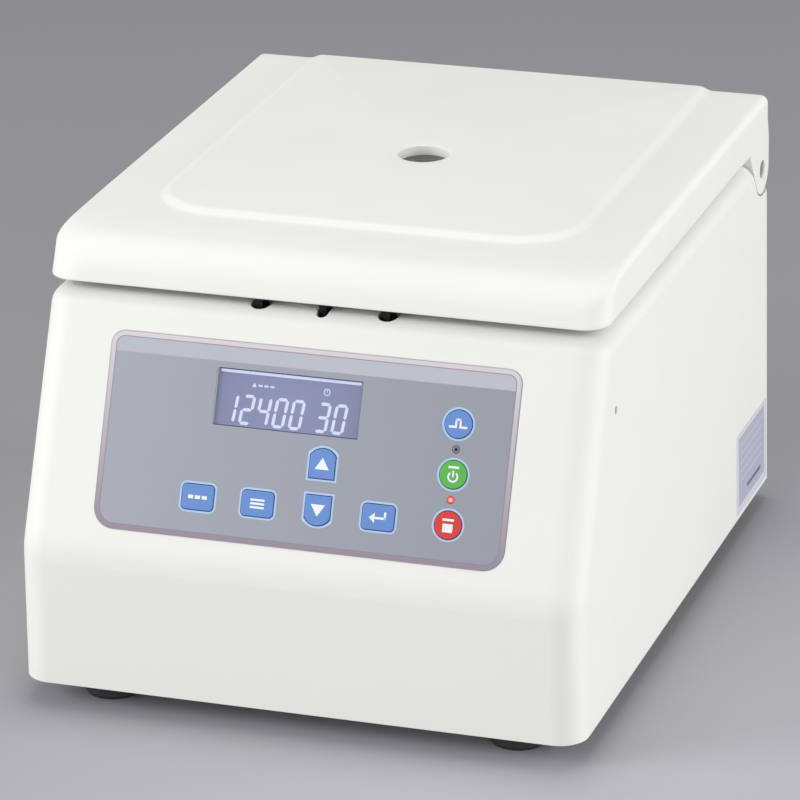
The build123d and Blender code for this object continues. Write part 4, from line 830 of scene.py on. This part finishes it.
def inner_skin(work, lip, swept, foot):
    """The inside of the shell, from its lower edge up to the ceiling over the liner."""
    wall = LID_HALF - LID_WALL
    front = LID_FRONT + LID_WALL / math.cos(math.atan(LID_LEAN))
    rear_inset = LID_WALL - LID_REAR_RADIUS
    corner = LID_CORNER_LOW - LID_WALL
    fillet = CEILING_FILLET
    ends = steps(REAR_STEPS, -wall, wall)
    loops = []
    for t in steps(6):
        high = mix(LID_EDGE, LID_CEILING - fillet, t)
        set_back = front + (high - LID_EDGE) * LID_LEAN
        loops.append(u_line(wall, set_back, corner, lambda y: high, high, rear_inset))
    for t in steps(5)[1:]:
        turn = t * math.pi / 2
        high = LID_CEILING - fillet * (1 - math.sin(turn))
        inset = fillet * (1 - math.cos(turn))
        set_back = front + (LID_CEILING - fillet - LID_EDGE) * LID_LEAN + 3 * inset
        loops.append(u_line(wall - inset, set_back, corner, lambda y: high, high, rear_inset))
    closed = []
    for loop in loops:
        spread = steps(REAR_STEPS, loop[-1][0], loop[0][0])
        closed.append(loop + [(x, loop[0][1], loop[0][2]) for x in spread[1:-1]])
    work.rows(closed, True)
    well = PORT_RADIUS + PORT_LEDGE
    rings = [closed[-1], ring_about_port(closed[-1], well, LID_CEILING)]
    rings.append(ring_about_port(closed[-1], well, PORT_FLOOR - PORT_LEDGE))
    rings.append(ring_about_port(closed[-1], PORT_TUBE, PORT_FLOOR - PORT_LEDGE))
    work.rows(rings, True)
    work.rows([lip, loops[0]])
    back = [(x, loops[0][0][1], LID_EDGE) for x in ends]
    work.face(swept[0][-1] + foot[-2:0:-1] + swept[-1][-1][::-1] + back[::-1])


def lower_lid(work):
    """The hinge ears and rear skin below the lid's edge, from the CAD lid, and the screw bosses."""
    source = bmesh.new()
    source.from_mesh(nodes["lid_cover"].data)
    bmesh.ops.remove_doubles(source, verts=source.verts, dist=WELD * MM)
    everything = [*source.verts, *source.edges, *source.faces]
    height = Vector((0, 0, LID_EDGE * MM))
    up = (0, 0, 1)
    bmesh.ops.bisect_plane(
        source, geom=everything, dist=SLIVER * MM, plane_co=height, plane_no=up, clear_outer=True
    )
    # The rim's underside lies in the cut. The shell has its own, so the CAD lid's is dropped.
    rim = []
    for face in source.faces:
        if all(abs(vert.co.z / MM - LID_EDGE) < WELD for vert in face.verts):
            rim.append(face)
    bmesh.ops.delete(source, geom=rim, context="FACES")
    bmesh.ops.holes_fill(source, edges=[edge for edge in source.edges if edge.is_boundary])
    for face in source.faces:
        work.faces.append(work.add([vert.co / MM for vert in face.verts]))
    source.free()
    for side in (-1, 1):
        x = sorted((side * EAR_INNER, side * (LID_HALF - LID_WALL - CLEARANCE)))
        y = (EAR_FRONT, LID_REAR_START - 0.5 - CLEARANCE)
        work.box(x, y, (LID_EDGE + CLEARANCE, LID_CEILING - CLEARANCE))
        for place in BOSS_PLACES:
            low, high = LINER_TOP, LID_CEILING + 0.1
            boss = [(BOSS_RADIUS, low), (BOSS_RADIUS, high), (BOSS_HOLE, high), (BOSS_HOLE, low)]
            work.turned(boss, (side * (LID_HALF - BOSS_INSET), place), 28)


shell = lid_shell().piece("lid_shell", CASING, "lid", "casing_plastic")
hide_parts("lid_cover")


# ---- Printed marks
def circle(radius, count=40, centre=(0, 0)):
    angles = [math.tau * i / count for i in range(count)]
    return [(centre[0] + radius * math.cos(a), centre[1] + radius * math.sin(a)) for a in angles]


def rounded_box(width, height, radius, arc=6):
    """A rectangle with rounded corners, anticlockwise."""
    outline = []
    for quarter, (sx, sy) in enumerate(((1, 1), (-1, 1), (-1, -1), (1, -1))):
        for t in steps(arc):
            angle = (quarter + t) * math.pi / 2
            x = sx * (width / 2 - radius) + radius * math.cos(angle)
            outline.append((x, sy * (height / 2 - radius) + radius * math.sin(angle)))
    return outline


def arrow_box(more, down):
    """The arrow keys' outline: a straight foot, straight sides and an arched head."""
    half = ARROW_WIDTH / 2 + more
    tall = ARROW_HEIGHT / 2 + more
    radius = (half * half + ARROW_SHOULDER * ARROW_SHOULDER) / (2 * ARROW_SHOULDER)
    reach = math.asin(half / radius)
    outline = [(-half, -tall), (half, -tall)]
    for angle in steps(19, reach, -reach):
        outline.append((radius * math.sin(angle), tall - radius + radius * math.cos(angle)))
    turn = -1 if down else 1
    return [(turn * x, turn * y) for x, y in outline]


def key_shape(kind, more):
    if kind == "flat":
        return rounded_box(KEY_WIDTH + 2 * more, KEY_HEIGHT + 2 * more, KEY_CORNER + more)
    if kind == "round":
        return circle(ROUND_KEY_RADIUS + more, 48)
    return arrow_box(more, kind == "down")


def moved(outline, x, up, scale=1.0):
    return [(u * scale + x, v * scale + up) for u, v in outline]


rings = Sculpt()
for kind, x, up in KEYS.values():
    inner = moved(key_shape(kind, KEY_FIT + 0.05), x, up)
    outer = moved(key_shape(kind, KEY_FIT + KEY_RING), x, up)
    rings.plate(outer, FILM_TOP - INK_SINK, FILM_TOP + RING_INK_RISE, on_face, inner)
rings.piece("key_rings", RING_INK, "base", "panel_film")

TRIANGLE = [(-3.0, -2.4), (3.0, -2.4), (0.0, 2.4)]


def bar(x, y, half_x, half_y):
    left, right, low, high = x - half_x, x + half_x, y - half_y, y + half_y
    return [(left, low), (right, low), (right, high), (left, high)]


def arc_band(radius, width, start, end, up=0.0):
    """Part of a ring as one outline, its angles in degrees and its middle at height up."""
    angles = [math.radians(angle) for angle in steps(24, start, end)]
    sides = []
    for reach in (radius + width / 2, radius - width / 2):
        sides.append([(math.cos(a) * reach, up + math.sin(a) * reach) for a in angles])
    return sides[0] + sides[1][::-1]


MARKS = {
    "up_key": [TRIANGLE],
    "down_key": [[(-x, -y) for x, y in TRIANGLE]],
    "stop_key": [bar(0, -1.2, 2.1, 1.7), bar(0, 2.1, 2.4, 0.45)],
    "start_key": [
        arc_band(1.9, 0.7, 130, 410, -0.9), bar(0, 0.3, 0.35, 1.3), bar(0, 2.9, 2.2, 0.45),
    ],
    "pulse_key": [
        bar(-2.5, -1.2, 1.3, 0.45), bar(-0.9, 0.3, 0.4, 1.95), bar(0, 1.8, 1.3, 0.45),
        bar(0.9, 0.3, 0.4, 1.95), bar(2.5, -1.2, 1.3, 0.45),
    ],
    "set_key": [bar(-2.9, 0, 1.1, 0.7), bar(0, 0, 1.1, 0.7), bar(2.9, 0, 1.1, 0.7)],
    "mode_key": [bar(0, 1.5, 3.0, 0.42), bar(0, 0, 3.0, 0.42), bar(0, -1.5, 3.0, 0.42)],
    "enter_key": [
        [(-3.8, -0.3), (-1.4, 1.8), (-1.4, -2.4)],
        bar(0.9, -0.3, 2.4, 0.45), bar(2.9, 0.8, 0.45, 1.5),
    ],
}
KEY_SLOTS = {"stop_key": "key_red", "start_key": "key_green"}
for name, marks in MARKS.items():
    kind, x, up = KEYS[name]
    work = Sculpt()
    for mark in marks:
        work.plate(moved(mark, x, up), KEY_TOP - INK_SINK, KEY_TOP + MARK_INK_RISE)
    work.piece(name.replace("key", "mark"), WHITE_INK, name, KEY_SLOTS.get(name, "key_blue"))

# ---- Display segments, for the digits that are shown
SEGMENTS = {"0": "abcdef", "1": "bc", "2": "abged", "3": "abgcd", "4": "fgbc"}
DIGIT_WIDTH = 4.2
DIGIT_HEIGHT = 11.0
DIGIT_STROKE = 1.3
DIGIT_SLANT = 0.12
DIGIT_GAP = 0.12
DIGIT_UP = 65.1
SPEED_X = -33.7
SPEED_PITCH = 7.05
TIME_X = 5.5
TIME_PITCH = 7.1
SIGNS_UP = 75.4
DIAL_X = 6.2


def segment(letter):
    """One bar of a seven-bar digit about the digit's middle, with pointed ends."""
    half, tall = DIGIT_WIDTH / 2, DIGIT_HEIGHT / 2
    ends = {
        "a": ((-half, tall), (half, tall)),
        "b": ((half, tall), (half, 0)),
        "c": ((half, 0), (half, -tall)),
        "d": ((-half, -tall), (half, -tall)),
        "e": ((-half, 0), (-half, -tall)),
        "f": ((-half, tall), (-half, 0)),
        "g": ((-half, 0), (half, 0)),
    }
    one, two = (Vector(end) for end in ends[letter])
    along = (two - one).normalized()
    side = Vector((-along.y, along.x)) * DIGIT_STROKE / 2
    gap = along * DIGIT_GAP
    point = along * DIGIT_STROKE / 2
    one, two = one + gap, two - gap
    shape = [one, one + point + side, two - point + side]
    shape += [two, two - point - side, one + point - side]
    return [(p.x + p.y * DIGIT_SLANT, p.y) for p in shape]


def digits(work, text, x, up, pitch):
    for place, letter in enumerate(text):
        for name in SEGMENTS[letter]:
            outline = moved(segment(name), x + place * pitch, up)
            work.plate(outline, DISPLAY_FRONT - INK_SINK, DISPLAY_FRONT + LIT_INK_RISE)


def display_marks():
    """The lit digits, a small arrow and dial above them, and a painted highlight: a glowing bar
    along the glass's upper edge.
    """
    work = Sculpt()
    low, high = DISPLAY_FRONT - INK_SINK, DISPLAY_FRONT + LIT_INK_RISE
    digits(work, "12400", SPEED_X, DIGIT_UP, SPEED_PITCH)
    digits(work, "30", TIME_X, DIGIT_UP, TIME_PITCH)
    foot, tip = SIGNS_UP - 0.9, SIGNS_UP + 0.9
    work.plate([(-25.6, foot), (-23.6, foot), (-24.6, tip)], low, high)
    for x in (-22.0, -19.5, -17.0):
        work.plate(bar(x, SIGNS_UP - 0.2, 0.85, 0.4), low, high)
    dial = [moved(circle(radius, 24), DIAL_X, SIGNS_UP) for radius in (1.45, 1.05)]
    work.plate(dial[0], low, high, on_face, dial[1])
    work.plate(bar(DIAL_X, SIGNS_UP + 0.4, 0.15, 0.5), low, high)
    # Painted highlight: a glowing bar of lit ink stands in for the light caught along the glass's
    # upper edge.
    edge = DISPLAY_UP + DISPLAY_HEIGHT / 2
    work.plate(bar(DISPLAY_X, edge - 0.75, DISPLAY_WIDTH / 2 - 0.8, 0.55), low, high)
    return work


display_marks().piece("display_marks", LIT_INK, "base", "display_glass")

# ---- Floor, lights and camera
FLOOR_SIZE = 9000.0
# Painted shade on the floor, standing in for the lamps' falloff: it darkens towards the back and
# left. The middle of the change, and how long it takes.
FLOOR_SHADE_RAMP = (-10.0, 520.0)
FLOOR_LIGHT = 1.04
FLOOR_DARK = 0.715
LAMP_DISTANCE = 2000.0
WORLD_STRENGTH = 0.375


def floor_finish():
    finish = Finish("floor", linear(174, 174, 179), 0.55)
    finish.shade(finish.noise(600.0), 0.985, 1.015)
    x, y, _ = finish.axes()
    # Painted shade: the floor's colour is darker towards the back and left.
    finish.shade(((y - x) * math.sqrt(0.5)).above(*FLOOR_SHADE_RAMP), FLOOR_LIGHT, FLOOR_DARK)
    return finish.done()


floor = bpy.data.meshes.new("floor")
reach = FLOOR_SIZE * MM
corners = [(-reach, -reach, 0), (reach, -reach, 0), (reach, reach, 0), (-reach, reach, 0)]
floor.from_pydata(corners, [], [(0, 1, 2, 3)])
floor.materials.append(floor_finish())
ground = bpy.data.objects.new("floor", floor)
bpy.context.scene.collection.objects.link(ground)


def direction(azimuth, elevation):
    """The way out from the object, for an azimuth off its front and an elevation in degrees."""
    a, e = math.radians(azimuth), math.radians(elevation)
    return Vector((math.sin(a) * math.cos(e), -math.cos(a) * math.cos(e), math.sin(e)))


def soft_light(name, azimuth, elevation, size, power):
    """A square soft box that faces the object."""
    lamp_data = bpy.data.lights.new(name, "AREA")
    lamp_data.shape = "SQUARE"
    lamp_data.size = size * MM
    lamp_data.energy = power
    made = bpy.data.objects.new(name, lamp_data)
    out = direction(azimuth, elevation)
    made.location = (Vector(CAMERA_TARGET) + out * LAMP_DISTANCE) * MM
    made.rotation_mode = "QUATERNION"
    made.rotation_quaternion = out.to_track_quat("Z", "Y")
    bpy.context.scene.collection.objects.link(made)


soft_light("key_light", -56.0, 20.0, 1100.0, 27.5)
soft_light("fill_light", 45.0, 15.0, 1100.0, 11.0)
soft_light("side_light", 98.0, 12.0, 1300.0, 20.5)
soft_light("top_light", 180.0, 82.0, 900.0, 12.0)

world = bpy.data.worlds.new("studio")
world.use_nodes = True
background = world.node_tree.nodes["Background"]
background.inputs["Color"].default_value = (1.0, 1.0, 1.0, 1.0)
background.inputs["Strength"].default_value = WORLD_STRENGTH
bpy.context.scene.world = world
bpy.context.scene.view_settings.view_transform = "Standard"


def place_camera():
    """The camera looks at its target from the photograph's angle, rolled a little."""
    camera_data = bpy.data.cameras.new("camera")
    camera_data.lens = CAMERA_LENS
    camera_data.clip_start = 0.05
    camera_data.clip_end = 60.0
    camera = bpy.data.objects.new("camera", camera_data)
    back = direction(CAMERA_AZIMUTH, CAMERA_ELEVATION)
    turned = math.radians(CAMERA_AZIMUTH)
    level = Vector((math.cos(turned), math.sin(turned), 0.0))
    roll = math.radians(CAMERA_ROLL)
    right = level * math.cos(roll) + back.cross(level) * math.sin(roll)
    turn = Matrix((right, back.cross(right), back)).transposed()
    where = Vector(CAMERA_TARGET) * MM + back * CAMERA_DISTANCE * MM
    camera.matrix_world = Matrix.Translation(where) @ turn.to_4x4()
    bpy.context.scene.collection.objects.link(camera)
    bpy.context.scene.camera = camera


place_camera()
